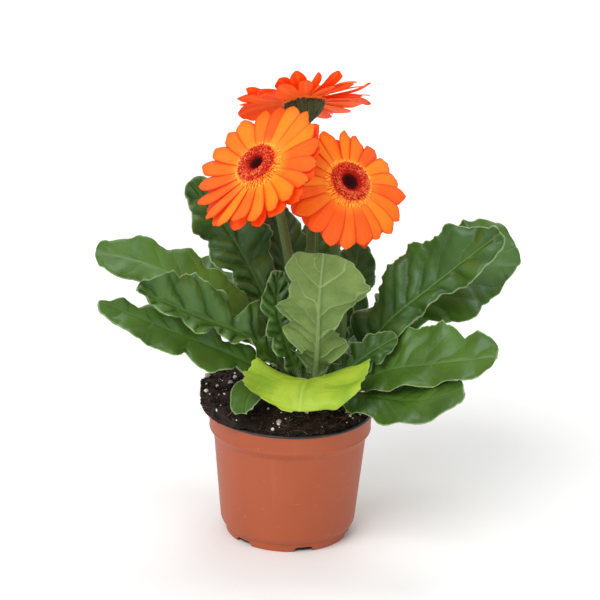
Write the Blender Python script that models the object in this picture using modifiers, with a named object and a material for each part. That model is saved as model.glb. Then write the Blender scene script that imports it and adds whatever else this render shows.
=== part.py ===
"""Potted gerbera: three orange blooms over a rosette of lobed leaves, in a round nursery pot.

Metres, +Z up. The origin is the middle of the pot's base, on the surface that it stands on.
The front of the plant faces -Y. Places in the tables are in millimetres.
"""

import math
import random
from collections import namedtuple

import bmesh
import bpy
from mathutils import Matrix, Vector, noise

MM = 0.001
SEAT_GAP = 0.3  # mm of clearance where one piece rests on another

# Pot, in mm
POT_SIDES = 40
RIM_RADIUS = 60.0
POT_HEIGHT = 95.0
WALL = 1.2
FOOT_RADIUS = 45.0
BODY_FOOT_RADIUS = 49.2
BODY_TOP_RADIUS = 55.2
BAND_RADIUS = 58.4
BODY_FOOT_HEIGHT = 11.0
BODY_TOP_HEIGHT = 75.0
BAND_FOOT_HEIGHT = 80.0
NOTCH_COUNT = 6
NOTCH_FIRST_DEG = -74.0
NOTCH_WIDTH = 15.0
NOTCH_HEIGHT = 3.8
NOTCH_DEPTH = 9.0

# Soil, in mm
SOIL_SIDES = 32
SOIL_WALL_GAP = 0.45
SOIL_FRONT_HEIGHT = 93.6
SOIL_LEFT_RISE = 17.0
SOIL_LEFT_DEG = 165.0
SOIL_CROWN_HEIGHT = 109.0
SOIL_OVERHANG = 5.0
SOIL_CRUMB = 1.1
HOLE_GAP = 0.4
ROOT_DEPTH = 12.0

# Leaves, in mm
BLADE_THICKNESS = 0.8
PETIOLE_RADIUS = 2.5
PETIOLE_TOP_RADIUS = 1.7
MIDRIB_TIP_RADIUS = 0.6
BLADE_COLUMNS = (-1.0, -0.5, 0.0, 0.5, 1.0)

# Blooms, in mm
SCAPE_RADIUS = 3.9
SCAPE_TOP_RADIUS = 3.2
SCAPE_SIDES = 12
SCAPE_ROWS = 11
CUP_HEIGHT = 17.0
CUP_TOP = -3.5
CUP_PROFILE = ((0.12, 4.8), (0.36, 9.2), (0.66, 12.8), (1.0, 14.7))
CUP_FLOOR_RADII = (13.6, 4.0)
BRACT_RELIEF = 0.8
BRACT_NOTCH = 2.2
HUB_RADIUS = 16.0
HUB_TOP = 1.6
HUB_FOOT = -3.0
DISC_RADIUS = 14.8
DISC_HEIGHT = 4.6
DISC_SIDES = 22
PETAL_ROOT = 10.5
PETAL_THICKNESS = 0.8
PETAL_HALF_WIDTHS = ((0.0, 1.6), (0.42, 4.8), (0.80, 6.1), (1.0, 2.6))
PETAL_ROLL_DEG = 9.0
FRINGE_TEETH = 16
FRINGE_REACH = 18.8

# Each side of a blade has a half width in mm for each share of its length
WIDTH_SHARES = (0.08, 0.17, 0.26, 0.35, 0.44, 0.53, 0.62, 0.71, 0.80, 0.88, 0.95)
Leaf = namedtuple(
    "Leaf",
    "name collar near far tip face_near face_far left right blade_start waves ruffle fold_left fold_right phase",
)
LEAVES = (
    Leaf("leaf_left_high", (1, 9), (-41, 4, 161), (-107, 12, 197), (-143, 16, 203),
         (0.2, -0.5, 0.85), (0.15, -0.6, 0.75),
         (7, 10, 15, 13, 18, 14, 18, 15, 17, 19, 13), (8, 14, 12, 20, 22, 18, 24, 18, 20, 16, 11),
         0.16, 4.5, 3.0, 0.10, 0.15, 0.3),
    Leaf("leaf_left_curled", (-1, 2), (-25, -15, 148), (-68, -34, 174), (-108, -52, 197),
         (0.2, -0.6, 0.8), (0.2, -0.8, 0.6),
         (6, 8, 11, 7, 10, 6, 11, 7, 8, 5, 3), (8, 14, 11, 20, 14, 22, 23, 24, 20, 17, 10),
         0.14, 5.0, 4.0, 0.10, 0.25, 1.4),
    Leaf("leaf_left_low", (0, -6), (-32, -24, 137), (-85, -42, 165), (-134, -54, 189),
         (0.2, -0.5, 0.85), (0.2, -0.6, 0.8),
         (7, 10, 8, 19, 25, 13, 23, 20, 19, 13, 8), (6, 9, 12, 10, 14, 12, 14, 15, 9, 9, 3),
         0.16, 4.5, 3.0, 0.12, 0.25, 2.2),
    Leaf("leaf_front_left", (5, -12), (-12, -29, 119), (-29, -44, 119), (-31, -58, 111),
         (0.4, 0.5, 0.75), (-0.5, -0.8, 0.4),
         (4, 6, 7, 10, 8, 12, 10, 13, 12, 11, 8), (4, 6, 7, 10, 8, 12, 10, 13, 12, 11, 8),
         0.25, 3.0, 2.0, 0.15, 0.15, 0.8),
    Leaf("leaf_left_tall", (5, 16), (-24, 27, 174), (-49, 34, 216), (-78, 42, 250),
         (0.3, -0.9, 0.3), (0.3, -0.9, 0.3),
         (6, 10, 16, 13, 18, 15, 22, 17, 21, 14, 10), (6, 9, 14, 12, 16, 19, 25, 22, 20, 16, 12),
         0.14, 4.5, 3.5, 0.12, 0.2, 1.9),
    Leaf("leaf_back_left_tall", (11, 20), (-2, 40, 163), (-10, 50, 198), (-16, 60, 229),
         (0.2, -0.9, 0.3), (0.2, -0.9, 0.4),
         (5, 9, 8, 13, 11, 17, 14, 19, 17, 15, 10), (5, 9, 8, 13, 11, 17, 14, 19, 17, 15, 10),
         0.2, 4.5, 3.5, 0.12, 0.12, 0.45),
    Leaf("leaf_left_inner", (8, -6), (-5, -12, 149), (-11, -15, 173), (-11, -13, 202),
         (0.3, -0.9, 0.2), (0.2, -0.9, 0.4),
         (4, 7, 6, 10, 8, 12, 9, 12, 11, 9, 6), (4, 7, 6, 9, 7, 11, 8, 10, 9, 8, 5),
         0.2, 3.5, 3.0, 0.2, 0.2, 0.2),
    Leaf("leaf_front_upright", (17, -8), (18, -27, 154), (18, -37, 190), (20, -34, 222),
         (0.1, 0.95, 0.3), (0.1, 0.9, -0.4),
         (5, 8, 10, 20, 15, 12, 17, 25, 33, 29, 22), (5, 7, 18, 10, 26, 20, 30, 22, 22, 26, 22),
         0.12, 4.0, 3.0, 0.08, 0.08, 0.9),
    Leaf("leaf_front_lime", (13, -16), (12, -33, 129), (8, -53, 128), (6, -66, 117),
         (-0.15, -0.1, 1.0), (-0.12, -0.8, 0.6),
         (8, 15, 28, 38, 46, 49, 47, 44, 40, 32, 24), (8, 14, 24, 33, 40, 43, 43, 41, 36, 28, 20),
         0.25, 3.0, 2.5, 0.30, 0.25, 2.6),
    Leaf("leaf_right_high", (37, 8), (65, 2, 158), (100, -6, 194), (143, -18, 236),
         (-0.4, -0.7, 0.6), (-0.4, -0.8, 0.5),
         (6, 10, 20, 24, 27, 33, 32, 28, 23, 16, 8), (6, 8, 12, 18, 11, 13, 10, 14, 18, 14, 10),
         0.12, 4.5, 3.5, 0.10, 0.10, 1.1),
    Leaf("leaf_right_rear", (33, 16), (72, 28, 150), (121, 38, 190), (161, 46, 207),
         (-0.3, -0.5, 0.8), (-0.3, -0.8, 0.6),
         (6, 12, 11, 19, 17, 22, 26, 29, 33, 31, 24), (6, 12, 11, 18, 17, 29, 42, 34, 31, 23, 16),
         0.16, 4.0, 3.0, 0.06, 0.06, 2.9),
    Leaf("leaf_right_middle", (37, -3), (66, -20, 132), (98, -34, 143), (143, -46, 154),
         (0.0, -0.4, 0.9), (0.0, -0.5, 0.85),
         (6, 10, 12, 19, 28, 29, 29, 27, 20, 21, 17), (7, 14, 22, 25, 12, 9, 16, 18, 22, 18, 14),
         0.16, 4.5, 3.0, 0.38, 0.05, 0.2),
    Leaf("leaf_right_low", (31, -12), (55, -38, 119), (86, -57, 124), (119, -68, 138),
         (0.1, -0.4, 0.9), (0.1, -0.45, 0.9),
         (4, 4, 4, 6, 8, 11, 12, 13, 12, 11, 8), (8, 15, 20, 27, 25, 30, 28, 26, 23, 18, 11),
         0.16, 4.5, 2.5, 0.0, 0.08, 1.7),
    Leaf("leaf_back_right_tall", (25, 20), (38, 45, 147), (43, 55, 175), (48, 65, 201),
         (-0.2, -0.9, 0.3), (-0.2, -0.9, 0.4),
         (4, 7, 6, 10, 9, 13, 12, 16, 15, 14, 9), (4, 7, 6, 10, 9, 13, 12, 16, 15, 14, 9),
         0.2, 4.0, 3.0, 0.12, 0.12, 2.4),
    Leaf("leaf_back_middle_tall", (18, 25), (17, 64, 156), (17, 80, 183), (16, 92, 208),
         (0.0, -0.9, 0.4), (0.0, -0.9, 0.4),
         (5, 9, 8, 13, 12, 18, 15, 20, 17, 16, 11), (5, 9, 8, 13, 12, 18, 15, 20, 17, 16, 11),
         0.2, 4.5, 4.0, 0.12, 0.12, 1.0),
    Leaf("leaf_right_inner", (23, -3), (42, -12, 131), (56, -15, 144), (74, -17, 157),
         (-0.4, -0.8, 0.3), (-0.4, -0.8, 0.4),
         (5, 9, 7, 11, 8, 12, 10, 11, 9, 8, 6), (5, 8, 6, 10, 7, 11, 8, 11, 8, 8, 6),
         0.25, 3.0, 2.5, 0.15, 0.15, 0.6),
    Leaf("leaf_middle_right", (26, 11), (33, 16, 137), (35, 19, 156), (40, 21, 172),
         (-0.3, -0.9, 0.2), (-0.3, -0.9, 0.3),
         (4, 6, 5, 8, 6, 9, 7, 10, 9, 7, 5), (4, 6, 5, 8, 6, 8, 7, 9, 8, 7, 5),
         0.3, 3.0, 2.0, 0.15, 0.15, 0.0),
    Leaf("leaf_rear_left", (4, 25), (-34, 66, 138), (-62, 98, 156), (-86, 122, 166),
         (0.0, -0.2, 1.0), (0.0, 0.0, 1.0),
         (6, 10, 9, 15, 13, 20, 17, 24, 20, 18, 12), (6, 10, 9, 15, 13, 20, 17, 24, 20, 18, 12),
         0.2, 4.5, 4.0, 0.12, 0.12, 2.0),
    Leaf("leaf_rear_middle", (14, 32), (10, 84, 130), (8, 116, 142), (4, 146, 140),
         (0.0, -0.3, 1.0), (0.0, 0.2, 1.0),
         (6, 10, 9, 15, 13, 20, 17, 23, 19, 17, 11), (6, 10, 9, 15, 13, 20, 17, 23, 19, 17, 11),
         0.2, 4.5, 4.0, 0.12, 0.12, 0.7),
    Leaf("leaf_rear_right", (28, 28), (66, 66, 136), (94, 92, 154), (122, 114, 164),
         (0.0, -0.2, 1.0), (0.0, 0.0, 1.0),
         (6, 11, 9, 15, 12, 21, 17, 24, 21, 18, 12), (6, 11, 9, 15, 12, 21, 17, 24, 21, 18, 12),
         0.2, 4.5, 4.0, 0.12, 0.12, 1.5),
)

Bloom = namedtuple(
    "Bloom",
    "name collar near far centre axis petal_length droop_stretch reflex_deg sway front back",
)
BLOOMS = (
    Bloom("left", (9, 3), (-1, 2, 190), (-13, 5, 246), (-25.5, -24, 279.5), (-0.53, -0.49, 0.69),
          38.0, 2.5, -2.0, 3.0, 20, 16),
    Bloom("right", (30, 3), (35, 6, 155), (28, 17, 216), (35, -2, 263), (0.40, -0.66, 0.635),
          36.0, 0.0, 25.0, 3.0, 20, 16),
    Bloom("rear", (15, 12), (12, 17, 168), (10, 31, 246), (3, 45, 312), (-0.13, 0.49, 0.86),
          37.5, 0.0, 0.0, 9.0, 20, 16),
)


def smooth(x):
    """0 below 0, 1 above 1, and an even S between them."""
    x = min(max(x, 0.0), 1.0)
    return x * x * (3.0 - 2.0 * x)


def chance(*key):
    """A number from 0 to 1 that depends only on the key."""
    return random.Random(repr(key)).random()


def material(name, colour, roughness, metallic=0.0):
    made = bpy.data.materials.new(name)
    made.use_nodes = True
    shader = made.node_tree.nodes["Principled BSDF"]
    shader.inputs["Base Color"].default_value = (*colour, 1.0)
    shader.inputs["Roughness"].default_value = roughness
    shader.inputs["Metallic"].default_value = metallic
    made.diffuse_color = (*colour, 1.0)
    return made


def add_object(name, mesh, finish, collection):
    made = bpy.data.objects.new(name, mesh)
    if finish is not None:
        mesh.materials.append(finish)
    mesh.shade_smooth()
    mesh.set_sharp_from_angle(angle=math.radians(40.0))
    collection.objects.link(made)
    return made


def loft(name, sections, falling=()):
    """A closed mesh through rings of equal length, in mm.

    The strips that start at the ring points in falling are split along the other diagonal.
    """
    sides = len(sections[0])
    points = [Vector(p) * MM for ring in sections for p in ring]
    faces = []
    for row in range(len(sections) - 1):
        for k in range(sides):
            a = row * sides + k
            b = row * sides + (k + 1) % sides
            c, d = b + sides, a + sides
            if k in falling:
                faces += [(a, b, d), (b, c, d)]
            else:
                faces += [(a, b, c), (a, c, d)]
    faces.append(tuple(reversed(range(sides))))
    faces.append(tuple(range(len(points) - sides, len(points))))
    mesh = bpy.data.meshes.new(name)
    mesh.from_pydata(points, [], faces)
    solid = bmesh.new()
    solid.from_mesh(mesh)
    bmesh.ops.recalc_face_normals(solid, faces=solid.faces)
    if solid.calc_volume(signed=True) < 0.0:
        bmesh.ops.reverse_faces(solid, faces=solid.faces)
    solid.to_mesh(mesh)
    solid.free()
    return mesh


def join_union(target, pieces, collection):
    """Joins the pieces to the target in one Boolean union, and removes them."""
    cutters = bpy.data.collections.new(target.name + "_pieces")
    collection.children.link(cutters)
    for piece in pieces:
        cutters.objects.link(piece)
    union = target.modifiers.new("union", "BOOLEAN")
    union.operation = "UNION"
    union.operand_type = "COLLECTION"
    union.collection = cutters
    union.solver = "EXACT"
    bpy.context.view_layer.update()
    graph = bpy.context.evaluated_depsgraph_get()
    joined = bpy.data.meshes.new_from_object(target.evaluated_get(graph))
    target.modifiers.clear()
    target.data = joined
    for piece in list(cutters.objects):
        bpy.data.objects.remove(piece)
    bpy.data.collections.remove(cutters)


class Spine:
    """A smooth curve through given points, in mm, read by the distance along it."""

    STEPS = 14

    def __init__(self, points, arrival=None):
        points = [Vector(p) for p in points]
        chords = [(b - a).length for a, b in zip(points, points[1:])]
        slopes = [(b - a) / c for a, b, c in zip(points, points[1:], chords)]
        tangents = [slopes[0]]
        for i in range(1, len(points) - 1):
            before, after = chords[i - 1], chords[i]
            tangents.append((slopes[i - 1] * after + slopes[i] * before) / (before + after))
        tangents.append(arrival or slopes[-1] * 1.5 - tangents[-1] * 0.5)
        self.points = [points[0]]
        for i, chord in enumerate(chords):
            for step in range(1, self.STEPS + 1):
                t = step / self.STEPS
                self.points.append(
                    points[i] * (2 * t**3 - 3 * t**2 + 1)
                    + tangents[i] * (chord * (t**3 - 2 * t**2 + t))
                    + points[i + 1] * (3 * t**2 - 2 * t**3)
                    + tangents[i + 1] * (chord * (t**3 - t**2))
                )
        self.lengths = [0.0]
        for a, b in zip(self.points, self.points[1:]):
            self.lengths.append(self.lengths[-1] + (b - a).length)
        self.length = self.lengths[-1]

    def at(self, distance):
        """The point and the unit direction at a distance along the curve."""
        distance = min(max(distance, 0.0), self.length)
        i = 0
        while i < len(self.points) - 2 and self.lengths[i + 1] < distance:
            i += 1
        share = (distance - self.lengths[i]) / (self.lengths[i + 1] - self.lengths[i])
        point = self.points[i].lerp(self.points[i + 1], share)
        ahead = self.points[min(i + 2, len(self.points) - 1)] - self.points[i]
        behind = self.points[i + 1] - self.points[max(i - 1, 0)]
        return point, behind.normalized().lerp(ahead.normalized(), share).normalized()


# Soil surface

def soil_edge(angle):
    """Height of the soil where it meets the rim, in mm: the root ball stands proud on the left."""
    swell = max(0.0, math.cos(angle - math.radians(SOIL_LEFT_DEG)))
    return SOIL_FRONT_HEIGHT + SOIL_LEFT_RISE * smooth(swell * 1.25)


def soil_height(x, y):
    """Height of the soil's surface at a place inside the pot, in mm, without its crumbs."""
    reach = min(math.hypot(x, y) / (BAND_RADIUS - WALL), 1.0)
    edge = soil_edge(math.atan2(y, x))
    return edge + (SOIL_CROWN_HEIGHT - edge) * (1.0 - reach**2.2)


# Pot

def pot_profile():
    """Inner wall from its floor up, over the lip, and down the outer wall, as (radius, height) in mm."""
    outer = [
        (0.0, 0.0),
        (FOOT_RADIUS - 1.0, 0.0),
        (FOOT_RADIUS, 0.8),
        (FOOT_RADIUS + 0.6, 6.0),
        (FOOT_RADIUS + 2.4, 7.4),
        (BODY_FOOT_RADIUS, BODY_FOOT_HEIGHT),
        (BODY_TOP_RADIUS, BODY_TOP_HEIGHT),
        (BODY_TOP_RADIUS + 0.8, BODY_TOP_HEIGHT + 1.6),
        (BAND_RADIUS, BAND_FOOT_HEIGHT),
        (BAND_RADIUS + 0.7, POT_HEIGHT - 2.0),
        (RIM_RADIUS, POT_HEIGHT - 1.2),
        (RIM_RADIUS, POT_HEIGHT),
    ]
    inner = [
        (BAND_RADIUS + 0.9 - WALL, POT_HEIGHT),
        (BAND_RADIUS - WALL, BAND_FOOT_HEIGHT + 0.6),
        (BODY_TOP_RADIUS - WALL, BODY_TOP_HEIGHT + 0.4),
        (BODY_FOOT_RADIUS - WALL, BODY_FOOT_HEIGHT + 0.4),
        (FOOT_RADIUS + 0.6 - WALL, 7.4),
        (FOOT_RADIUS - WALL, WALL),
        (0.0, WALL),
    ]
    return list(reversed(inner)) + list(reversed(outer))


def make_pot(collection, cutters, finish):
    mesh = bpy.data.meshes.new("pot")
    points = [(r * MM, 0.0, z * MM) for r, z in pot_profile()]
    mesh.from_pydata(points, [(i, i + 1) for i in range(len(points) - 1)], [])
    pot = add_object("pot", mesh, finish, collection)
    turn = pot.modifiers.new("turn", "SCREW")
    turn.axis = "Z"
    turn.steps = POT_SIDES
    turn.render_steps = POT_SIDES
    turn.use_merge_vertices = True
    turn.merge_threshold = 0.0001
    for k in range(NOTCH_COUNT):
        notch = make_notch(k, cutters)
        cut = pot.modifiers.new("drain_" + str(k), "BOOLEAN")
        cut.operation = "DIFFERENCE"
        cut.object = notch
    return pot


def make_notch(k, cutters):
    """A drain notch's cutter: an arch through the foot and the edge of the floor."""
    half, top = NOTCH_WIDTH / 2, NOTCH_HEIGHT
    arch = [(-half, -2.0), (half, -2.0), (half - 0.8, top * 0.55), (half - 3.2, top),
            (-half + 3.2, top), (-half + 0.8, top * 0.55)]
    near, far = FOOT_RADIUS - NOTCH_DEPTH, FOOT_RADIUS + 4.0
    mesh = loft("notch", [[(near, y, z) for y, z in arch], [(far, y, z) for y, z in arch]])
    notch = add_object("drain_cutter_" + str(k), mesh, None, cutters)
    notch.rotation_euler.z = math.radians(NOTCH_FIRST_DEG + 360.0 / NOTCH_COUNT * k)
    notch.hide_render = True
    notch.display_type = "WIRE"
    return notch


# Soil

def soil_rings():
    """Rings of the soil's solid, from the pot's floor up and over the crumbly top."""
    sides = [
        (FOOT_RADIUS - WALL, WALL + SEAT_GAP),
        (FOOT_RADIUS + 0.6 - WALL, 7.8),
        (BODY_FOOT_RADIUS - WALL, BODY_FOOT_HEIGHT + 1.4),
        (BODY_TOP_RADIUS - WALL, BODY_TOP_HEIGHT + 0.4),
    ]
    step = 2 * math.pi / SOIL_SIDES
    angles = [step * k for k in range(SOIL_SIDES)]
    rings = [
        [((r - SOIL_WALL_GAP) * math.cos(a), (r - SOIL_WALL_GAP) * math.sin(a), z) for a in angles]
        for r, z in sides
    ]
    inside = BAND_RADIUS - WALL - SOIL_WALL_GAP
    neck, ledge, shoulder = [], [], []
    for a in angles:
        beside = max(soil_edge(a - step), soil_edge(a), soil_edge(a + step))
        proud = smooth((beside - POT_HEIGHT) / 2.0)
        rise = (soil_edge(a) - POT_HEIGHT) / 6.0
        reach = inside + smooth(rise * 2.0 - 1.0) * (RIM_RADIUS + SOIL_OVERHANG - inside)
        crumb = SOIL_CRUMB * noise.noise(Vector((math.cos(a), math.sin(a), 0.4)) * 5.3)
        low = SOIL_FRONT_HEIGHT - 1.2 + proud * (POT_HEIGHT + 2 * SEAT_GAP - SOIL_FRONT_HEIGHT + 1.2)
        neck.append((inside * math.cos(a), inside * math.sin(a), low - 1.4 * (1.0 - proud)))
        ledge.append((reach * math.cos(a), reach * math.sin(a), low + 0.2 * proud))
        reach = reach - 1.0 + crumb
        high = max(soil_edge(a) - 2.0, low + 0.6 + proud)
        shoulder.append((reach * math.cos(a), reach * math.sin(a), high))
    rings += [neck, ledge, shoulder]
    for share in (0.93, 0.77, 0.58, 0.38, 0.15):
        ring = []
        for a, (x, y, _) in zip(angles, shoulder):
            x, y = x * share, y * share
            crumb = SOIL_CRUMB * noise.noise(Vector((x, y, 3.0)) * 0.21)
            ring.append((x, y, soil_height(x, y) + crumb))
        rings.append(ring)
    return rings


def make_soil(collection, cutters, finish, stems):
    soil = add_object("soil", loft("soil", soil_rings()), finish, collection)
    for k, (spine, radius) in enumerate(stems):
        rings = []
        for distance in (-HOLE_GAP, ROOT_DEPTH, ROOT_DEPTH + 5.0):
            point, along = spine.at(distance)
            if distance < 0.0:
                point = point + along * distance
            side = along.cross(Vector((0, 1, 0))).normalized()
            other = along.cross(side)
            rings.append([
                tuple(point + (side * math.cos(t) + other * math.sin(t)) * (radius * 1.16 + HOLE_GAP))
                for t in (2 * math.pi * j / 6 for j in range(6))
            ])
        hole = add_object("hole_cutter_" + str(k), loft("hole", rings), None, cutters)
        hole.hide_render = True
        hole.display_type = "WIRE"
    holes = bpy.data.collections.new("holes")
    cutters.children.link(holes)
    for k in range(len(stems)):
        holes.objects.link(bpy.data.objects["hole_cutter_" + str(k)])
    cut = soil.modifiers.new("stem_holes", "BOOLEAN")
    cut.operation = "DIFFERENCE"
    cut.operand_type = "COLLECTION"
    cut.collection = holes
    return soil


# Leaves

def leaf_spine(leaf):
    x, y = leaf.collar
    collar = Vector((x, y, soil_height(x, y) + 1.0))
    lean = (Vector(leaf.near) - collar).normalized() * 0.18
    root = collar - (Vector((0, 0, 1)) + lean).normalized() * ROOT_DEPTH
    return Spine([root, collar, leaf.near, leaf.far, leaf.tip])


def blade_half_width(leaf, v, side):
    """Half width of the blade on one side at a share v of its length, in mm."""
    shares = (0.0,) + WIDTH_SHARES
    knots = (PETIOLE_TOP_RADIUS,) + (leaf.right if side > 0 else leaf.left)
    if v >= shares[-1]:
        past = (v - shares[-1]) / (1.0 - shares[-1])
        return knots[-1] * math.sqrt(max(0.0, 1.0 - past**2.0))
    i = max(k for k in range(len(shares) - 1) if shares[k] <= v)
    t = (v - shares[i]) / (shares[i + 1] - shares[i])
    return knots[i] + (knots[i + 1] - knots[i]) * t


def blade_lift(leaf, v, u, width):
    """How far the blade rises over its midrib's plane at u across, from -1 to 1, in mm."""
    edge = abs(u)
    side = 1.0 if u > 0 else -1.0
    fold = leaf.fold_right if u > 0 else leaf.fold_left
    turn = 2 * math.pi * leaf.waves * 0.9 * (1.0 - v) + leaf.phase * 2.0 + side * 1.1
    ruffle = leaf.ruffle * edge**1.7 * math.sin(turn) * smooth(v * 4.0) * (1.0 - 0.4 * v)
    return fold * edge**1.5 * width + ruffle


def leaf_sections(leaf):
    """Rings from the root up: a round petiole that opens into the blade, whose midrib hangs below."""
    spine = leaf_spine(leaf)
    start = leaf.blade_start * spine.length
    distances = [0.0, ROOT_DEPTH, start]
    distances += [start + (spine.length - start) * v for v in (*WIDTH_SHARES, 0.99)]
    near, far = Vector(leaf.face_near), Vector(leaf.face_far)
    rings = []
    for distance in distances:
        point, along = spine.at(distance)
        face = near.lerp(far, distance / spine.length)
        up = (face - along * face.dot(along)).normalized()
        across = along.cross(up)
        v = max(0.0, (distance - start) / (spine.length - start))
        stalk = min(distance / start, 1.0)
        radius = PETIOLE_RADIUS + (PETIOLE_TOP_RADIUS - PETIOLE_RADIUS) * stalk
        radius += (MIDRIB_TIP_RADIUS - PETIOLE_TOP_RADIUS) * v
        opened = smooth(v / 0.14)
        top, bottom = [], []
        for u in BLADE_COLUMNS:
            width = max(blade_half_width(leaf, v, u), radius) if v > 0.0 else radius
            lift = blade_lift(leaf, v, u, width)
            turn = math.radians(90.0 - 78.0 * u)
            round_top = (radius * math.cos(turn), radius * math.sin(turn) * (1.0 - 0.25 * (u == 0.0)))
            round_low = (radius * math.cos(turn), -radius * math.sin(turn))
            rib = 1.6 * radius if u == 0.0 else 0.0
            flat_top = (u * width, lift + BLADE_THICKNESS / 2)
            flat_low = (u * width, lift - BLADE_THICKNESS / 2 - rib)
            for row, round_one, flat in ((top, round_top, flat_top), (bottom, round_low, flat_low)):
                b = round_one[0] + (flat[0] - round_one[0]) * opened
                n = round_one[1] + (flat[1] - round_one[1]) * opened
                row.append(tuple(point + across * b + up * n))
        rings.append(top + list(reversed(bottom)))
    return rings


def make_leaf(leaf, collection, finish):
    columns = len(BLADE_COLUMNS)
    falling = {k for k in range(2 * columns) if columns // 2 <= k % columns < columns - 1}
    mesh = loft(leaf.name, leaf_sections(leaf), falling)
    return add_object(leaf.name, mesh, finish, collection)


# Blooms

def bloom_matrix(bloom):
    """From the bloom's own frame, with its disc facing +Z, to the plant's frame, in mm."""
    axis = Vector(bloom.axis).normalized()
    turn = axis.to_track_quat("Z", "Y").to_matrix().to_4x4()
    return Matrix.Translation(Vector(bloom.centre)) @ turn


def scape_spine(bloom):
    x, y = bloom.collar
    collar = Vector((x, y, soil_height(x, y) + 1.0))
    axis = Vector(bloom.axis).normalized()
    root = collar - Vector((0, 0, ROOT_DEPTH))
    return Spine([root, collar, bloom.near, bloom.far, Vector(bloom.centre) - axis * CUP_HEIGHT], axis)


def circle(centre, axis, side, radii):
    """Points round a centre, one for each radius, from the side direction on."""
    side = (side - axis * side.dot(axis)).normalized()
    other = axis.cross(side)
    points = []
    for k, radius in enumerate(radii):
        turn = 2 * math.pi * k / len(radii)
        points.append(centre + (side * math.cos(turn) + other * math.sin(turn)) * radius)
    return points


def cup_rings(bloom, side):
    """The green cup under a bloom: rows of pointed bracts in relief, then its flat top."""
    axis = Vector(bloom.axis).normalized()
    centre = Vector(bloom.centre)
    rings = []
    for step, (share, radius) in enumerate(CUP_PROFILE):
        height = -CUP_HEIGHT + (CUP_HEIGHT + CUP_TOP) * share
        proud = [(k + step) % 2 for k in range(SCAPE_SIDES)]
        radii = [radius + (BRACT_RELIEF if p else -0.4 * BRACT_RELIEF) for p in proud]
        ring = circle(centre + axis * height, axis, side, radii)
        if share == 1.0:
            ring = [point if p else point - axis * BRACT_NOTCH for point, p in zip(ring, proud)]
        rings.append(ring)
    for radius in CUP_FLOOR_RADII:
        rings.append(circle(centre + axis * CUP_TOP, axis, side, [radius] * SCAPE_SIDES))
    return rings


def make_scape(bloom, collection, finish):
    """The bare flower stem and, at its top, the green cup of pointed bracts."""
    spine = scape_spine(bloom)
    side = Vector((1, 0, 0))
    rings = []
    for row in range(SCAPE_ROWS):
        share = max(0.0, (row - 1) / (SCAPE_ROWS - 2))
        distance = ROOT_DEPTH + (spine.length - ROOT_DEPTH) * share if row else 0.0
        point, along = spine.at(distance)
        radius = SCAPE_RADIUS + (SCAPE_TOP_RADIUS - SCAPE_RADIUS) * share
        rings.append(circle(point, along, side, [radius] * SCAPE_SIDES))
        side = (rings[-1][0] - point).normalized()
    rings += cup_rings(bloom, side)
    mesh = loft("scape_" + bloom.name, rings)
    return add_object("scape_" + bloom.name, mesh, finish, collection)


def petal_sections(bloom, layer, index):
    """Sections of one strap petal, from its root in the hub out to its tip, in mm."""
    count = bloom.back if layer else bloom.front
    turn_chance = chance("turn", bloom.name, layer, index) - 0.5
    length_chance = chance("length", bloom.name, layer, index) - 0.5
    sway_chance = chance("sway", bloom.name, layer, index) - 0.5
    turn = 2 * math.pi * (index + 0.5 * layer + turn_chance * 0.1) / count
    matrix = bloom_matrix(bloom) @ Matrix.Rotation(turn, 4, "Z")
    hang = max(0.0, -matrix.col[0].z)
    length = bloom.petal_length * (1.0 + 0.12 * length_chance) + bloom.droop_stretch * hang - 1.5 * layer
    start_lift = math.radians(4.0 - 4.0 * layer)
    end_lift = math.radians(bloom.sway * sway_chance * 2.0 - bloom.reflex_deg - 6.0 * layer)
    height = 0.1 - 1.7 * layer
    reach, previous = PETAL_ROOT, 0.0
    rings = []
    for share, half in PETAL_HALF_WIDTHS:
        lift = start_lift + (end_lift - start_lift) * share
        reach += math.cos(lift) * length * (share - previous)
        height += math.sin(lift) * length * (share - previous)
        previous = share
        roll = math.radians(PETAL_ROLL_DEG)
        across = Vector((0, math.cos(roll), math.sin(roll))) * half * 21.0 / (count + 1.0)
        up = Vector((-math.sin(lift), -math.sin(roll), math.cos(lift))).normalized() * PETAL_THICKNESS / 2
        middle = Vector((reach, 0, height))
        corners = (middle - across - up, middle + across - up, middle + across + up, middle - across + up)
        rings.append([tuple(matrix @ corner) for corner in corners])
    return rings


def hub_sections(bloom):
    """Sections of the hub: flat below, with a toothed crown of short florets round the disc's seat."""
    matrix = bloom_matrix(bloom)
    rings = []
    levels = (
        (HUB_RADIUS - 1.5, HUB_FOOT, 0.0, 0.0),
        (HUB_RADIUS, HUB_FOOT + 1.0, 0.0, 0.0),
        (HUB_RADIUS, 1.3, 0.0, 0.0),
        (FRINGE_REACH, 3.3, 1.4, 0.8),
        (DISC_RADIUS + 0.7, HUB_TOP + 0.6, 0.0, 0.0),
        (DISC_RADIUS + 0.4, HUB_TOP, 0.0, 0.0),
    )
    for radius, height, tooth, drop in levels:
        ring = []
        for k in range(FRINGE_TEETH * 2):
            turn = math.pi * k / FRINGE_TEETH
            r = radius - tooth * (k % 2) * (0.7 + 0.6 * chance("tooth", bloom.name, k))
            z = height - drop * (k % 2)
            ring.append(tuple(matrix @ Vector((r * math.cos(turn), r * math.sin(turn), z))))
        rings.append(ring)
    return rings


def make_rays(bloom, collection, finish):
    """Two layers of strap petals and the toothed crown round the disc, grown from one hub."""
    name = "rays_" + bloom.name
    rays = add_object(name, loft(name, hub_sections(bloom)), finish, collection)
    pieces = []
    for layer, count in enumerate((bloom.front, bloom.back)):
        for index in range(count):
            mesh = loft("petal", petal_sections(bloom, layer, index))
            pieces.append(bpy.data.objects.new("petal", mesh))
    join_union(rays, pieces, collection)
    return rays


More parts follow.
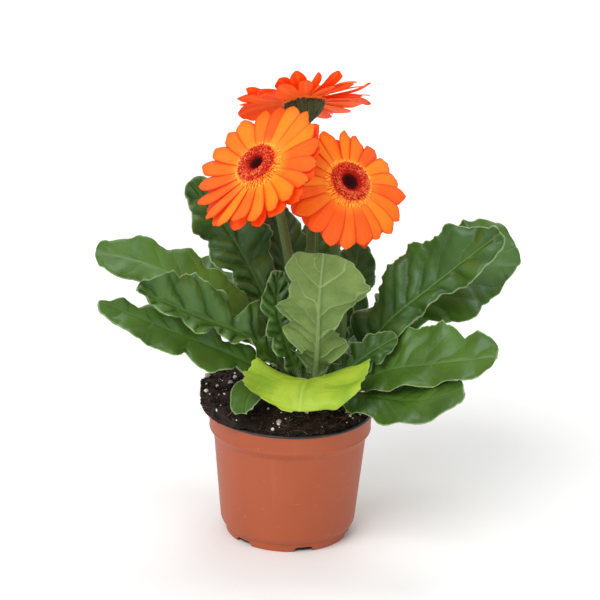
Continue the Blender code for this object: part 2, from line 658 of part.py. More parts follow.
def make_disc(bloom, collection, finish):
    """The dome of packed florets, with the closed ones sunk in the middle."""
    foot = HUB_TOP + SEAT_GAP
    matrix = bloom_matrix(bloom)
    profile = ((0.86, 0.0), (0.97, 0.3), (0.93, 0.75), (0.76, 1.0), (0.55, 0.8), (0.35, 0.55), (0.14, 0.5))
    rings = []
    for step, (reach, high) in enumerate(profile):
        ring = []
        for k in range(DISC_SIDES):
            turn = 2 * math.pi * k / DISC_SIDES
            raised = 0.8 if (k + step) % 2 else -0.3
            bump = raised + 0.5 * (chance("floret", bloom.name, step, k) - 0.5) if step > 1 else 0.0
            r = DISC_RADIUS * reach
            z = foot + DISC_HEIGHT * high + bump
            ring.append(tuple(matrix @ Vector((r * math.cos(turn), r * math.sin(turn), z))))
        rings.append(ring)
    mesh = loft("disc_" + bloom.name, rings)
    return add_object("disc_" + bloom.name, mesh, finish, collection)


def main():
    for old in list(bpy.data.objects):
        bpy.data.objects.remove(old)
    plant = bpy.data.collections.new("potted_gerbera")
    cutters = bpy.data.collections.new("cutters")
    bpy.context.scene.collection.children.link(plant)
    bpy.context.scene.collection.children.link(cutters)
    terracotta = material("terracotta_plastic", (0.50, 0.13, 0.055), 0.45)
    peat = material("peat", (0.020, 0.011, 0.008), 0.95)
    leaf_green = material("leaf_green", (0.055, 0.14, 0.025), 0.45)
    lime = material("young_leaf_lime", (0.33, 0.52, 0.045), 0.5)
    stem_green = material("stem_green", (0.10, 0.17, 0.055), 0.6)
    petal_orange = material("petal_orange", (0.95, 0.16, 0.012), 0.5)
    disc_red = material("disc_red", (0.20, 0.012, 0.010), 0.7)

    make_pot(plant, cutters, terracotta)
    stems = [(leaf_spine(leaf), PETIOLE_RADIUS) for leaf in LEAVES]
    stems += [(scape_spine(bloom), SCAPE_RADIUS) for bloom in BLOOMS]
    make_soil(plant, cutters, peat, stems)
    for leaf in LEAVES:
        make_leaf(leaf, plant, lime if leaf.name == "leaf_front_lime" else leaf_green)
    for bloom in BLOOMS:
        make_scape(bloom, plant, stem_green)
        make_rays(bloom, plant, petal_orange)
        make_disc(bloom, plant, disc_red)


main()
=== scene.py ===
import math
import random
from collections import namedtuple
from itertools import product

import bmesh
import bpy
import numpy as np
from mathutils import Matrix, Vector


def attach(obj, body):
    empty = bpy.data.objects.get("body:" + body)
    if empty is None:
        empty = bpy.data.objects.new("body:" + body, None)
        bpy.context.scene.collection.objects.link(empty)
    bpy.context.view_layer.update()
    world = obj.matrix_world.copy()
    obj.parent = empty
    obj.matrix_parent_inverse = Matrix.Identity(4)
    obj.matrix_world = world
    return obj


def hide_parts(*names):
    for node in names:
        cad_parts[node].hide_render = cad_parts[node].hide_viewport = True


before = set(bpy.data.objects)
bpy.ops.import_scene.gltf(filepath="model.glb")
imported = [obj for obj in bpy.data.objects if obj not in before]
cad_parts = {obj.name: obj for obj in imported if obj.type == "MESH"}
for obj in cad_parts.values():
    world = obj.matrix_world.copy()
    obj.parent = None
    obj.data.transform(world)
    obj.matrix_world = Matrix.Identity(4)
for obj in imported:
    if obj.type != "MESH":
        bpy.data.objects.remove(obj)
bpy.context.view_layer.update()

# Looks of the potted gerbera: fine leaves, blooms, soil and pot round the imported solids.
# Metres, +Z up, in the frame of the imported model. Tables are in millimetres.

bl_info = {
    "name": "Potted gerbera",
    "version": (1, 0, 0),
    "blender": (4, 5, 0),
    "location": "3D View > Sidebar > Gerbera",
    "description": "Builds the finished pot, soil, leaves, stems and blooms round the solid parts",
    "category": "Object",
}

MM = 0.001

# Sizes shared with the solid parts, in mm
RIM_RADIUS = 60.0
POT_HEIGHT = 95.0
WALL = 1.2
FOOT_RADIUS = 45.0
BODY_FOOT_RADIUS = 49.2
BODY_TOP_RADIUS = 55.2
BAND_RADIUS = 58.4
BODY_FOOT_HEIGHT = 11.0
BODY_TOP_HEIGHT = 75.0
BAND_FOOT_HEIGHT = 80.0
NOTCH_COUNT = 6
NOTCH_FIRST_DEG = -74.0
SOIL_WALL_GAP = 0.45
SOIL_FRONT_HEIGHT = 93.6
SOIL_LEFT_RISE = 17.0
SOIL_LEFT_DEG = 165.0
SOIL_CROWN_HEIGHT = 109.0
SOIL_OVERHANG = 5.0
ROOT_DEPTH = 12.0
PETIOLE_RADIUS = 2.5
PETIOLE_TOP_RADIUS = 1.7
MIDRIB_TIP_RADIUS = 0.6
SCAPE_RADIUS = 3.9
SCAPE_TOP_RADIUS = 3.2
CUP_HEIGHT = 17.0
CUP_TOP = -3.5
HUB_RADIUS = 16.0
HUB_TOP = 1.6
DISC_RADIUS = 14.8
DISC_HEIGHT = 4.6
PETAL_ROOT = 10.5
PETAL_ROLL_DEG = 9.0

# Sizes and counts of the fine pieces alone, in mm
SOIL_RADIUS = BAND_RADIUS - WALL - SOIL_WALL_GAP
STALK_ROWS = 14
BLADE_ROWS = 110
HALF_COLUMNS = 17
EDGE_HAIR_RADIUS = 0.075
SKIN_HAIR_RADIUS = 0.07
FLORET_COUNT = 500
FLORET_REACH = 14.7
STYLE_COUNT = 280
GOLDEN_ANGLE = 2.399963
SHARP_DEG = 50.0
POT_SHARP_DEG = 40.0

# Each leaf: where its stalk leaves the soil, three points that its midrib runs through, which way
# its upper face looks at each end, a half width for each share of the blade's length on either
# side, where the blade starts, the number and height of its waves, how steeply each half rises
# from the midrib, and where its waves begin
WIDTH_SHARES = (0.08, 0.17, 0.26, 0.35, 0.44, 0.53, 0.62, 0.71, 0.80, 0.88, 0.95)
Leaf = namedtuple(
    "Leaf",
    "name collar near far tip face_near face_far left right blade_start waves ruffle"
    " fold_left fold_right phase",
)
LEAVES = (
    Leaf("leaf_left_high", (1, 9), (-41, 4, 161), (-107, 12, 197), (-143, 16, 203),
         (0.2, -0.5, 0.85), (0.15, -0.6, 0.75),
         (7, 10, 15, 13, 18, 14, 18, 15, 17, 19, 13), (8, 14, 12, 20, 22, 18, 24, 18, 20, 16, 11),
         0.16, 4.5, 3.0, 0.10, 0.15, 0.3),
    Leaf("leaf_left_curled", (-1, 2), (-25, -15, 148), (-68, -34, 174), (-108, -52, 197),
         (0.2, -0.6, 0.8), (0.2, -0.8, 0.6),
         (6, 8, 11, 7, 10, 6, 11, 7, 8, 5, 3), (8, 14, 11, 20, 14, 22, 23, 24, 20, 17, 10),
         0.14, 5.0, 4.0, 0.10, 0.25, 1.4),
    Leaf("leaf_left_low", (0, -6), (-32, -24, 137), (-85, -42, 165), (-134, -54, 189),
         (0.2, -0.5, 0.85), (0.2, -0.6, 0.8),
         (7, 10, 8, 19, 25, 13, 23, 20, 19, 13, 8), (6, 9, 12, 10, 14, 12, 14, 15, 9, 9, 3),
         0.16, 4.5, 3.0, 0.12, 0.25, 2.2),
    Leaf("leaf_front_left", (5, -12), (-12, -29, 119), (-29, -44, 119), (-31, -58, 111),
         (0.4, 0.5, 0.75), (-0.5, -0.8, 0.4),
         (7, 11, 12, 14, 13, 14, 13, 13, 12, 11, 8), (7, 11, 12, 14, 13, 14, 13, 13, 12, 11, 8),
         0.25, 3.0, 2.0, 0.15, 0.15, 0.8),
    Leaf("leaf_left_tall", (5, 16), (-24, 28.4, 174), (-49, 35, 216), (-78, 42, 250),
         (0.3, -0.9, 0.3), (0.3, -0.9, 0.3),
         (6, 10, 16, 13, 18, 15, 22, 17, 21, 14, 10), (6, 9, 14, 12, 16, 19, 25, 22, 20, 16, 12),
         0.14, 4.5, 3.5, 0.12, 0.2, 1.9),
    Leaf("leaf_back_left_tall", (11, 20), (-2, 40, 163), (-10, 50, 198), (-16, 60, 229),
         (0.2, -0.9, 0.3), (0.2, -0.9, 0.4),
         (5, 9, 8, 13, 11, 17, 14, 19, 17, 15, 10), (5, 9, 8, 13, 11, 17, 14, 19, 17, 15, 10),
         0.2, 4.5, 3.5, 0.12, 0.12, 0.45),
    Leaf("leaf_left_inner", (8, -6), (-5, -12, 149), (-11, -15, 173), (-11, -13, 202),
         (0.3, -0.9, 0.2), (0.2, -0.9, 0.4),
         (4, 7, 6, 10, 8, 12, 9, 12, 11, 9, 6), (4, 7, 6, 9, 7, 11, 8, 10, 9, 8, 5),
         0.2, 3.5, 3.0, 0.2, 0.2, 0.2),
    Leaf("leaf_front_upright", (17, -8), (18, -27, 154), (18, -37, 190), (20, -34, 222),
         (0.1, 0.95, 0.3), (0.1, 0.9, -0.4),
         (5, 8, 10, 20, 15, 12, 17, 25, 33, 29, 22), (5, 7, 18, 10, 26, 20, 30, 22, 22, 26, 22),
         0.12, 4.0, 3.0, 0.08, 0.08, 0.9),
    Leaf("leaf_front_lime", (13, -16), (12, -33, 129), (8, -53, 128), (6, -66, 117),
         (-0.15, -0.1, 1.0), (-0.12, -0.8, 0.6),
         (6, 10, 20, 32, 41, 45, 46, 45, 42, 37, 28), (6, 9, 14, 21, 30, 36, 39, 40, 39, 35, 27),
         0.25, 3.0, 2.5, 0.30, 0.25, 2.6),
    Leaf("leaf_right_high", (37, 8), (65, 2, 158), (100, -6, 194), (143, -18, 236),
         (-0.4, -0.7, 0.6), (-0.4, -0.8, 0.5),
         (6, 11, 21, 21, 27, 30, 34, 27, 25, 17, 8), (6, 8, 12, 15, 11, 12, 10, 14, 18, 14, 10),
         0.12, 4.5, 3.5, 0.10, 0.10, 1.1),
    Leaf("leaf_right_rear", (33, 16), (72, 28, 150), (121, 38, 190), (161, 46, 207),
         (-0.3, -0.5, 0.8), (-0.3, -0.8, 0.6),
         (6, 12, 11, 19, 17, 22, 26, 29, 33, 31, 24), (6, 12, 11, 18, 17, 29, 42, 34, 31, 23, 16),
         0.16, 4.0, 3.0, 0.06, 0.06, 2.9),
    Leaf("leaf_right_middle", (37, -3), (66, -20, 132), (98, -34, 143), (143, -46, 154),
         (0.0, -0.4, 0.9), (0.0, -0.5, 0.85),
         (6, 10, 12, 19, 28, 29, 29, 27, 20, 21, 17), (9, 16, 22, 25, 27, 25, 23, 21, 22, 18, 14),
         0.16, 4.5, 3.0, 0.28, 0.20, 0.2),
    Leaf("leaf_right_low", (31, -12), (55, -38, 119), (86, -57, 124), (119, -68, 138),
         (0.1, -0.4, 0.9), (0.1, -0.45, 0.9),
         (6, 9, 11, 13, 16, 18, 20, 20, 18, 16, 12), (8, 14, 18, 24, 22, 27, 26, 24, 22, 17, 11),
         0.16, 4.5, 2.5, -0.06, 0.08, 1.7),
    Leaf("leaf_back_right_tall", (25, 20), (40, 45, 147), (43, 55, 175), (48, 65, 201),
         (-0.2, -0.9, 0.3), (-0.2, -0.9, 0.4),
         (4, 7, 6, 10, 9, 13, 12, 16, 15, 14, 9), (4, 7, 6, 10, 9, 13, 12, 16, 15, 14, 9),
         0.2, 4.0, 3.0, 0.12, 0.12, 2.4),
    Leaf("leaf_back_middle_tall", (18, 25), (17, 64, 156), (17, 80, 183), (16, 92, 208),
         (0.0, -0.9, 0.4), (0.0, -0.9, 0.4),
         (5, 9, 8, 13, 12, 18, 15, 20, 17, 16, 11), (5, 9, 8, 13, 12, 18, 15, 20, 17, 16, 11),
         0.2, 4.5, 4.0, 0.12, 0.12, 1.0),
    Leaf("leaf_right_inner", (23, -3), (42, -12, 131), (56, -15, 144), (74, -17, 157),
         (-0.4, -0.8, 0.3), (-0.4, -0.8, 0.4),
         (5, 9, 7, 11, 8, 12, 10, 11, 9, 8, 6), (5, 8, 6, 10, 7, 11, 8, 11, 8, 8, 6),
         0.25, 3.0, 2.5, 0.15, 0.15, 0.6),
    Leaf("leaf_middle_right", (26, 11), (33, 16, 137), (35, 19, 156), (40, 21, 172),
         (-0.3, -0.9, 0.2), (-0.3, -0.9, 0.3),
         (4, 6, 5, 8, 6, 9, 7, 10, 9, 7, 5), (4, 6, 5, 8, 6, 8, 7, 9, 8, 7, 5),
         0.3, 3.0, 2.0, 0.15, 0.15, 0.0),
    Leaf("leaf_rear_left", (4, 25), (-34, 66, 138), (-62, 98, 156), (-86, 122, 166),
         (0.0, -0.2, 1.0), (0.0, 0.0, 1.0),
         (6, 10, 9, 15, 13, 20, 17, 24, 20, 18, 12), (6, 10, 9, 15, 13, 20, 17, 24, 20, 18, 12),
         0.2, 4.5, 4.0, 0.12, 0.12, 2.0),
    Leaf("leaf_rear_middle", (14, 32), (10, 84, 130), (8, 116, 142), (4, 146, 140),
         (0.0, -0.3, 1.0), (0.0, 0.2, 1.0),
         (6, 10, 9, 15, 13, 20, 17, 23, 19, 17, 11), (6, 10, 9, 15, 13, 20, 17, 23, 19, 17, 11),
         0.2, 4.5, 4.0, 0.12, 0.12, 0.7),
    Leaf("leaf_rear_right", (28, 28), (66, 66, 136), (94, 92, 154), (122, 114, 164),
         (0.0, -0.2, 1.0), (0.0, 0.0, 1.0),
         (6, 11, 9, 15, 12, 21, 17, 24, 21, 18, 12), (6, 11, 9, 15, 12, 21, 17, 24, 21, 18, 12),
         0.2, 4.5, 4.0, 0.12, 0.12, 1.5),
)

# How each leaf is dressed: its tone from dark to light, its quilting, frill, rolled edge and
# broad folds in mm, how fine its mesh is, how clearly its veins show from 0 to 1, how many times
# deeper than the table's its lobes are cut, and how late its halves turn up from the midrib
Dress = namedtuple("Dress", "tone quilt frill roll folds finer veins lobes bowl", defaults=[1.5])
PLAIN_DRESS = Dress(0.3, 1.3, 1.8, 1.2, 3.0, 0.9, 0.35, 1.5)
DRESSES = {
    "leaf_left_high": Dress(0.70, 0.6, 1.4, 1.6, 2.0, 1.2, 0.35, 1.2),
    "leaf_left_curled": Dress(0.50, 3.4, 2.6, 1.5, 5.0, 1.3, 0.10, 2.6),
    "leaf_left_low": Dress(0.50, 1.0, 1.8, 1.5, 3.0, 1.2, 0.15, 1.3),
    "leaf_front_left": Dress(0.45, 0.6, 1.2, 1.0, 1.5, 1.0, 0.3, 1.2),
    "leaf_left_tall": Dress(0.25, 3.0, 2.2, 1.2, 4.5, 1.2, 0.2, 1.6),
    "leaf_back_left_tall": Dress(0.25, 1.8, 1.8, 1.2, 3.5, 1.0, 0.25, 1.6),
    "leaf_left_inner": Dress(0.40, 2.6, 2.2, 1.2, 3.5, 1.0, 0.15, 2.0),
    "leaf_front_upright": Dress(0.6, 1.2, 1.6, 0.6, 2.0, 1.6, 1.0, 1.1),
    "leaf_front_lime": Dress(0.6, 0.7, 3.0, 1.0, 4.0, 1.2, 0.45, 1.2, 2.4),
    "leaf_right_high": Dress(0.30, 1.8, 2.2, 1.2, 6.0, 1.3, 0.4, 1.7),
    "leaf_right_rear": Dress(0.50, 0.8, 1.4, 1.2, 3.0, 1.1, 0.15, 1.2),
    "leaf_right_middle": Dress(0.60, 0.9, 1.6, 1.2, 5.0, 1.2, 0.25, 1.3),
    "leaf_right_low": Dress(0.40, 0.7, 1.4, 1.2, 2.5, 1.1, 0.2, 1.2),
    "leaf_right_inner": Dress(0.30, 1.6, 2.0, 1.2, 3.0, 1.0, 0.25, 1.8),
}

# Each bloom: where its stem leaves the soil, two points that the stem runs through, the middle
# and direction of its face, how long its petals are, how much longer where they hang, how far
# they bend back and how unruly they lie in degrees, and how many there are in front and behind
Bloom = namedtuple(
    "Bloom",
    "name collar near far centre axis petal_length droop_stretch reflex_deg sway front back",
)
BLOOMS = (
    Bloom("left", (9, 3), (-1, 2, 190), (-13, 5, 246), (-25.5, -24, 279.5), (-0.53, -0.49, 0.69),
          38.0, 2.5, -2.0, 3.0, 20, 16),
    Bloom("right", (30, 3), (35, 6, 155), (28, 17, 216), (35, -2, 263), (0.40, -0.66, 0.635),
          36.0, 0.0, 25.0, 3.0, 20, 16),
    Bloom("rear", (15, 12), (12, 17, 168), (10, 31, 246), (3, 45, 312), (-0.13, 0.49, 0.86),
          37.5, 0.0, 0.0, 9.0, 20, 16),
)

# Half width of a petal for each share of its length
PETAL_SHARES = (0.0, 0.2, 0.42, 0.62, 0.78, 0.90, 1.0)
PETAL_WIDTHS = (1.6, 3.9, 5.6, 6.5, 6.7, 6.2, 5.2)

# Rings of the fringe: how many tongues, the radius and height of their feet, length and lift
FRINGE = (
    (66, 15.0, 1.4, 4.2, 18.0),
    (62, 14.7, 2.6, 3.8, 30.0),
    (58, 14.4, 3.8, 3.2, 44.0),
)

# Radius of the closed dark middle of each disc
PIT_RADII = {"left": 5.0, "right": 6.4, "rear": 5.2}

# The disc's dome: shares of its radius, and of its height there
DOME_SHARES = (0.0, 0.14, 0.35, 0.55, 0.76, 0.93, 0.97)
DOME_HEIGHTS = (0.48, 0.54, 0.66, 0.86, 1.0, 0.75, 0.4)

# Open and closed disc florets from foot to tip: share of the height, then share of the width
OPEN_FLORET = ((0.0, 0.7), (0.45, 1.0), (0.8, 1.0), (1.0, 1.45), (0.82, 0.5))
CLOSED_FLORET = ((0.0, 0.8), (0.4, 1.15), (0.75, 1.0), (0.95, 0.6), (1.02, 0.15))
FLORET_LEVELS = (0.0, 0.3, 0.7, 1.0, 0.8)

# The green cup: its radii at heights under the bloom
CUP_HEIGHTS = (-CUP_HEIGHT, -15.4, -12.1, -8.1, CUP_TOP, 0.0)
CUP_RADII = (3.2, 4.8, 9.0, 12.4, 14.3, 14.6)

# Tiers of bracts on the cup: height of their feet, length, half width and count; then the corners
# of a bract's section, as shares of its half width and thickness
BRACT_TIERS = (
    (-17.2, 8.0, 1.5, 11),
    (-16.0, 11.0, 1.8, 14),
    (-13.5, 12.5, 2.0, 17),
    (-10.5, 11.5, 2.0, 20),
)
BRACT_SECTION = ((-1.0, -0.2), (-0.5, 0.65), (0.0, 1.0), (0.5, 0.65), (1.0, -0.2), (0.0, -0.7))

# The largest grains of perlite: place and radius
PERLITE = (
    (-61, 14, 111, 2.6), (-44, 2, 110, 2.2), (-33, -38, 99, 2.0), (-9, 26, 109, 2.6),
    (-5, 14, 109, 2.9), (-52, -8, 108, 1.6), (-12, -52, 97, 1.5), (-8, -47, 99, 1.3),
)

# Lights: place in metres, spread in degrees, and the setting that holds the strength
LIGHTS = {
    "key_light": ((-0.85, -1.35, 1.60), 42.0, "key_strength"),
    "fill_light": ((1.35, -1.1, 0.9), 40.0, "fill_strength"),
    "top_light": ((0.15, 0.7, 1.9), 30.0, "top_strength"),
}
LIGHT_AIM = (0.0, 0.0, 0.17)
FLOOR_RADIUS_M = 9.0

# The camera that sees the plant as the photograph does
CAMERA_PLACE = (0.0045, -1.49, 0.668)
CAMERA_DOWN_DEG = 18.26
CAMERA_ROLL_DEG = 1.7
CAMERA_LENS_MM = 132.06
CAMERA_SENSOR_MM = 36.0


# Small helpers

def smooth(x):
    """0 below 0, 1 above 1, and an even S between them."""
    x = np.clip(x, 0.0, 1.0)
    return x * x * (3.0 - 2.0 * x)


def chance(*key):
    """A number from 0 to 1 that depends only on the key."""
    return random.Random(repr(key)).random()


def draws_for(*key):
    """A source of random draws that depends only on the key."""
    return np.random.default_rng(int(1e6 * chance(*key)))


def circle(count):
    """Even turns round a circle, in radians."""
    return 2 * math.pi * np.arange(count) / count


def points_from(*coordinates):
    """Points from coordinates, each of which may be a grid, a row, a column or one number."""
    return np.stack(np.broadcast_arrays(*coordinates), -1)


def unit(vectors):
    return vectors / np.linalg.norm(vectors, axis=-1, keepdims=True)


def noise(points, seed=0):
    """Smooth noise from -1 to 1, with one lattice cell to a unit."""
    cell = np.floor(points).astype(np.int64)
    part = points - cell
    part = part * part * (3.0 - 2.0 * part)
    total = np.zeros(points.shape[:-1])
    for corner in product((0, 1), repeat=3):
        # Large odd numbers scramble each corner's place and the seed into a value of its own
        x, y, z = np.moveaxis(cell + corner, -1, 0)
        mixed = (x * 73856093) ^ (y * 19349663) ^ (z * 83492791) ^ (seed * 374761393)
        mixed = (mixed ^ (mixed >> 13)) * 1274126177
        value = ((mixed ^ (mixed >> 16)) & 0xFFFF) / 32767.5 - 1.0
        total += value * np.prod(np.where(corner, part, 1.0 - part), axis=-1)
    return total


def layered_noise(points, octaves, seed=0):
    """Noise with finer and weaker layers on top."""
    return sum(noise(points * 2.0**k, seed + k) * 0.5**k for k in range(octaves))


class Spine:
    """A smooth curve through given points, in mm, read by the distance along it."""

    STEPS = 14

    def __init__(self, points, arrival=None):
        points = [np.array(p, float) for p in points]
        chords = [np.linalg.norm(b - a) for a, b in zip(points, points[1:])]
        slopes = [(b - a) / c for a, b, c in zip(points, points[1:], chords)]
        tangents = [slopes[0]]
        for i in range(1, len(points) - 1):
            before, after = chords[i - 1], chords[i]
            tangents.append((slopes[i - 1] * after + slopes[i] * before) / (before + after))
        tangents.append(slopes[-1] * 1.5 - tangents[-1] * 0.5 if arrival is None else arrival)
        curve = [points[0]]
        for i, chord in enumerate(chords):
            for t in np.arange(1, self.STEPS + 1) / self.STEPS:
                curve.append(
                    points[i] * (2 * t**3 - 3 * t**2 + 1)
                    + tangents[i] * (chord * (t**3 - 2 * t**2 + t))
                    + points[i + 1] * (3 * t**2 - 2 * t**3)
                    + tangents[i + 1] * (chord * (t**3 - t**2))
                )
        self.points = np.array(curve)
        steps = np.linalg.norm(np.diff(self.points, axis=0), axis=1)
        self.lengths = np.concatenate([[0.0], np.cumsum(steps)])
        self.length = self.lengths[-1]
        ahead = np.vstack([self.points[1:], self.points[-1:]])
        behind = np.vstack([self.points[:1], self.points[:-1]])
        self.directions = unit(ahead - behind)

    def at(self, distances):
        """The points and the unit directions at distances along the curve."""
        read = [[np.interp(distances, self.lengths, column) for column in table.T]
                for table in (self.points, self.directions)]
        return np.stack(read[0], -1), unit(np.stack(read[1], -1))


class Shells:
    """Closed shells gathered in mm into one mesh, with their material slots and point values."""

    def __init__(self):
        self.points = []
        self.faces = []
        self.values = []
        self.count = 0

    def add(self, points, faces, values):
        """Adds points and lists of equally long faces, as (corner indices, slots)."""
        for corners, slots in faces:
            self.faces.append((corners + self.count, np.broadcast_to(slots, len(corners))))
        self.values.append((self.count, len(points), values))
        self.points.append(points)
        self.count += len(points)

    def loft(self, rings, slots=0, **values):
        """Closed lofts through rings of points, as (shells, rows, sides, 3)."""
        rings = np.asarray(rings, float)
        if rings.ndim == 3:
            rings = rings[None]
        shells, rows, sides = rings.shape[:3]
        grid = np.arange(rows * sides).reshape(rows, sides)
        right = np.roll(grid, -1, 1)
        quads = np.stack([grid[:-1], right[:-1], right[1:], grid[1:]], -1).reshape(-1, 4)
        caps = np.stack([grid[0, ::-1], grid[-1]])
        local = rings.reshape(shells, -1, 3)
        local = local - local.mean(1, keepdims=True)
        volume = np.zeros(shells)
        for face in (quads, caps):
            for k in range(1, face.shape[1] - 1):
                a, b, c = local[:, face[:, 0]], local[:, face[:, k]], local[:, face[:, k + 1]]
                volume += (np.cross(a, b) * c).sum((1, 2))
        offsets = (np.arange(shells) * rows * sides)[:, None, None]
        flipped = (volume < 0.0)[:, None, None]
        faces = []
        strip_slots = np.tile(np.broadcast_to(slots, sides), rows - 1)
        for face, slot in ((quads, strip_slots), (caps, np.broadcast_to(slots, sides)[:2])):
            corners = np.where(flipped, face[None, :, ::-1], face[None]) + offsets
            faces.append((corners.reshape(-1, face.shape[1]), np.tile(slot, shells)))
        spread = {k: np.broadcast_to(v, (shells, rows, sides)).ravel() for k, v in values.items()}
        self.add(rings.reshape(-1, 3), faces, spread)

    def copies(self, points, triangles, slot=0, **values):
        """Adds shells that share one list of triangles, with points as (shells, corners, 3)."""
        shells, size = points.shape[:2]
        triangles = (triangles[None] + size * np.arange(shells)[:, None, None]).reshape(-1, 3)
        spread = {k: np.repeat(np.broadcast_to(v, shells), size) for k, v in values.items()}
        self.add(points.reshape(-1, 3), [(triangles, slot)], spread)

    def spikes(self, feet, tips, radius, slot):
        """Slim pointed hairs from feet to tips."""
        axis = unit(tips - feet)
        side = unit(np.cross(axis, np.array([0.31, 0.52, 0.79])))
        other = np.cross(axis, side)
        corners = [feet + radius * (side * math.cos(t) + other * math.sin(t)) for t in circle(3)]
        triangles = np.array([(0, 2, 1), (0, 1, 3), (1, 2, 3), (2, 0, 3)])
        self.copies(np.stack(corners + [tips], 1), triangles, slot)

    def lumps(self, centres, radii, level, seed, rough, shade):
        """Rough stones: spheres of the given radii (one row of three each) with their points moved."""
        ball = bmesh.new()
        bmesh.ops.create_icosphere(ball, subdivisions=level, radius=1.0)
        points = np.array([v.co[:] for v in ball.verts])
        triangles = np.array([[v.index for v in f.verts] for f in ball.faces])
        ball.free()
        draw = np.random.default_rng(seed)
        turns = np.array([turn_matrix(draw) for _ in centres])
        bumps = 1.0 + rough * draw.uniform(-1.0, 1.0, (len(centres), len(points), 1))
        shaped = points[None] * bumps * radii[:, None]
        shaped = np.einsum("nij,nkj->nki", turns, shaped) + centres[:, None]
        self.copies(shaped, triangles, shade=shade)

    def to_object(self, name, materials):
        """One object in metres with all shells, their slots and their stored values."""
        mesh = bpy.data.meshes.new(name)
        points = np.concatenate(self.points) * MM
        loops = np.concatenate([corners.ravel() for corners, _ in self.faces])
        sizes = np.concatenate([np.full(len(c), c.shape[1]) for c, _ in self.faces])
        mesh.vertices.add(len(points))
        mesh.vertices.foreach_set("co", points.astype(np.float32).ravel())
        mesh.loops.add(len(loops))
        mesh.loops.foreach_set("vertex_index", loops.astype(np.int32))
        mesh.polygons.add(len(sizes))
        starts = np.concatenate([[0], np.cumsum(sizes)[:-1]])
        mesh.polygons.foreach_set("loop_start", starts.astype(np.int32))
        slots = np.concatenate([s for _, s in self.faces]).astype(np.int32)
        mesh.polygons.foreach_set("material_index", slots)
        mesh.update(calc_edges=True)
        mesh.validate()
        for key in sorted({k for _, _, values in self.values for k in values}):
            table = np.zeros(len(points), np.float32)
            for start, size, values in self.values:
                if key in values:
                    table[start:start + size] = values[key]
            mesh.attributes.new(key, "FLOAT", "POINT").data.foreach_set("value", table)
        return dress_object(name, mesh, materials)


def turn_matrix(draw):
    """A random rotation."""
    first, second = unit(draw.normal(size=3)), draw.normal(size=3)
    second = unit(second - first * (first @ second))
    return np.array([first, second, np.cross(first, second)])


def dress_object(name, mesh, materials):
    """An object in the scene with its materials and smooth shading."""
    made = bpy.data.objects.new(name, mesh)
    for finish in materials:
        mesh.materials.append(finish)
    mesh.shade_smooth()
    mesh.set_sharp_from_angle(angle=math.radians(SHARP_DEG))
    bpy.context.scene.collection.objects.link(made)
    return made


def face_and_back(columns):
    """Material slots round a flat ring: 0 on the columns of its face and 1 on those of its back."""
    slots = np.zeros(2 * columns, int)
    slots[columns:2 * columns - 1] = 1
    return slots


def settle(piece, slot, *nodes):
    """The piece rides on the plant's body and stands for the nodes; the slot is not used."""
    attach(piece, "root")
    if nodes:
        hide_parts(*nodes)


# Shader maths

class Socket:
    """A shader socket written into expressions: each operation on a value adds its Math node."""

    def __init__(self, shader, socket):
        self.shader = shader
        self.socket = socket

    def math(self, operation, *values):
        return self.shader.node("ShaderNodeMath", {"operation": operation}, dict(enumerate(values)))

    def __add__(self, other):
        return self.math("ADD", self, other)

    def __radd__(self, other):
        return self.math("ADD", other, self)

    def __sub__(self, other):
        return self.math("SUBTRACT", self, other)

    def __rsub__(self, other):
        return self.math("SUBTRACT", other, self)

    def __mul__(self, other):
        return self.math("MULTIPLY", self, other)

    def __rmul__(self, other):
        return self.math("MULTIPLY", other, self)

    def __truediv__(self, other):
        return self.math("DIVIDE", self, other)

    def __abs__(self):
        return self.math("ABSOLUTE", self)

    def fraction(self):
        return self.math("FRACT", self)

    def ramp(self, low, high):
        """0 at low, 1 at high, and an even S between them."""
        inputs = {"Value": self, "From Min": low, "From Max": high}
        return self.shader.node("ShaderNodeMapRange", {"interpolation_type": "SMOOTHSTEP"}, inputs)


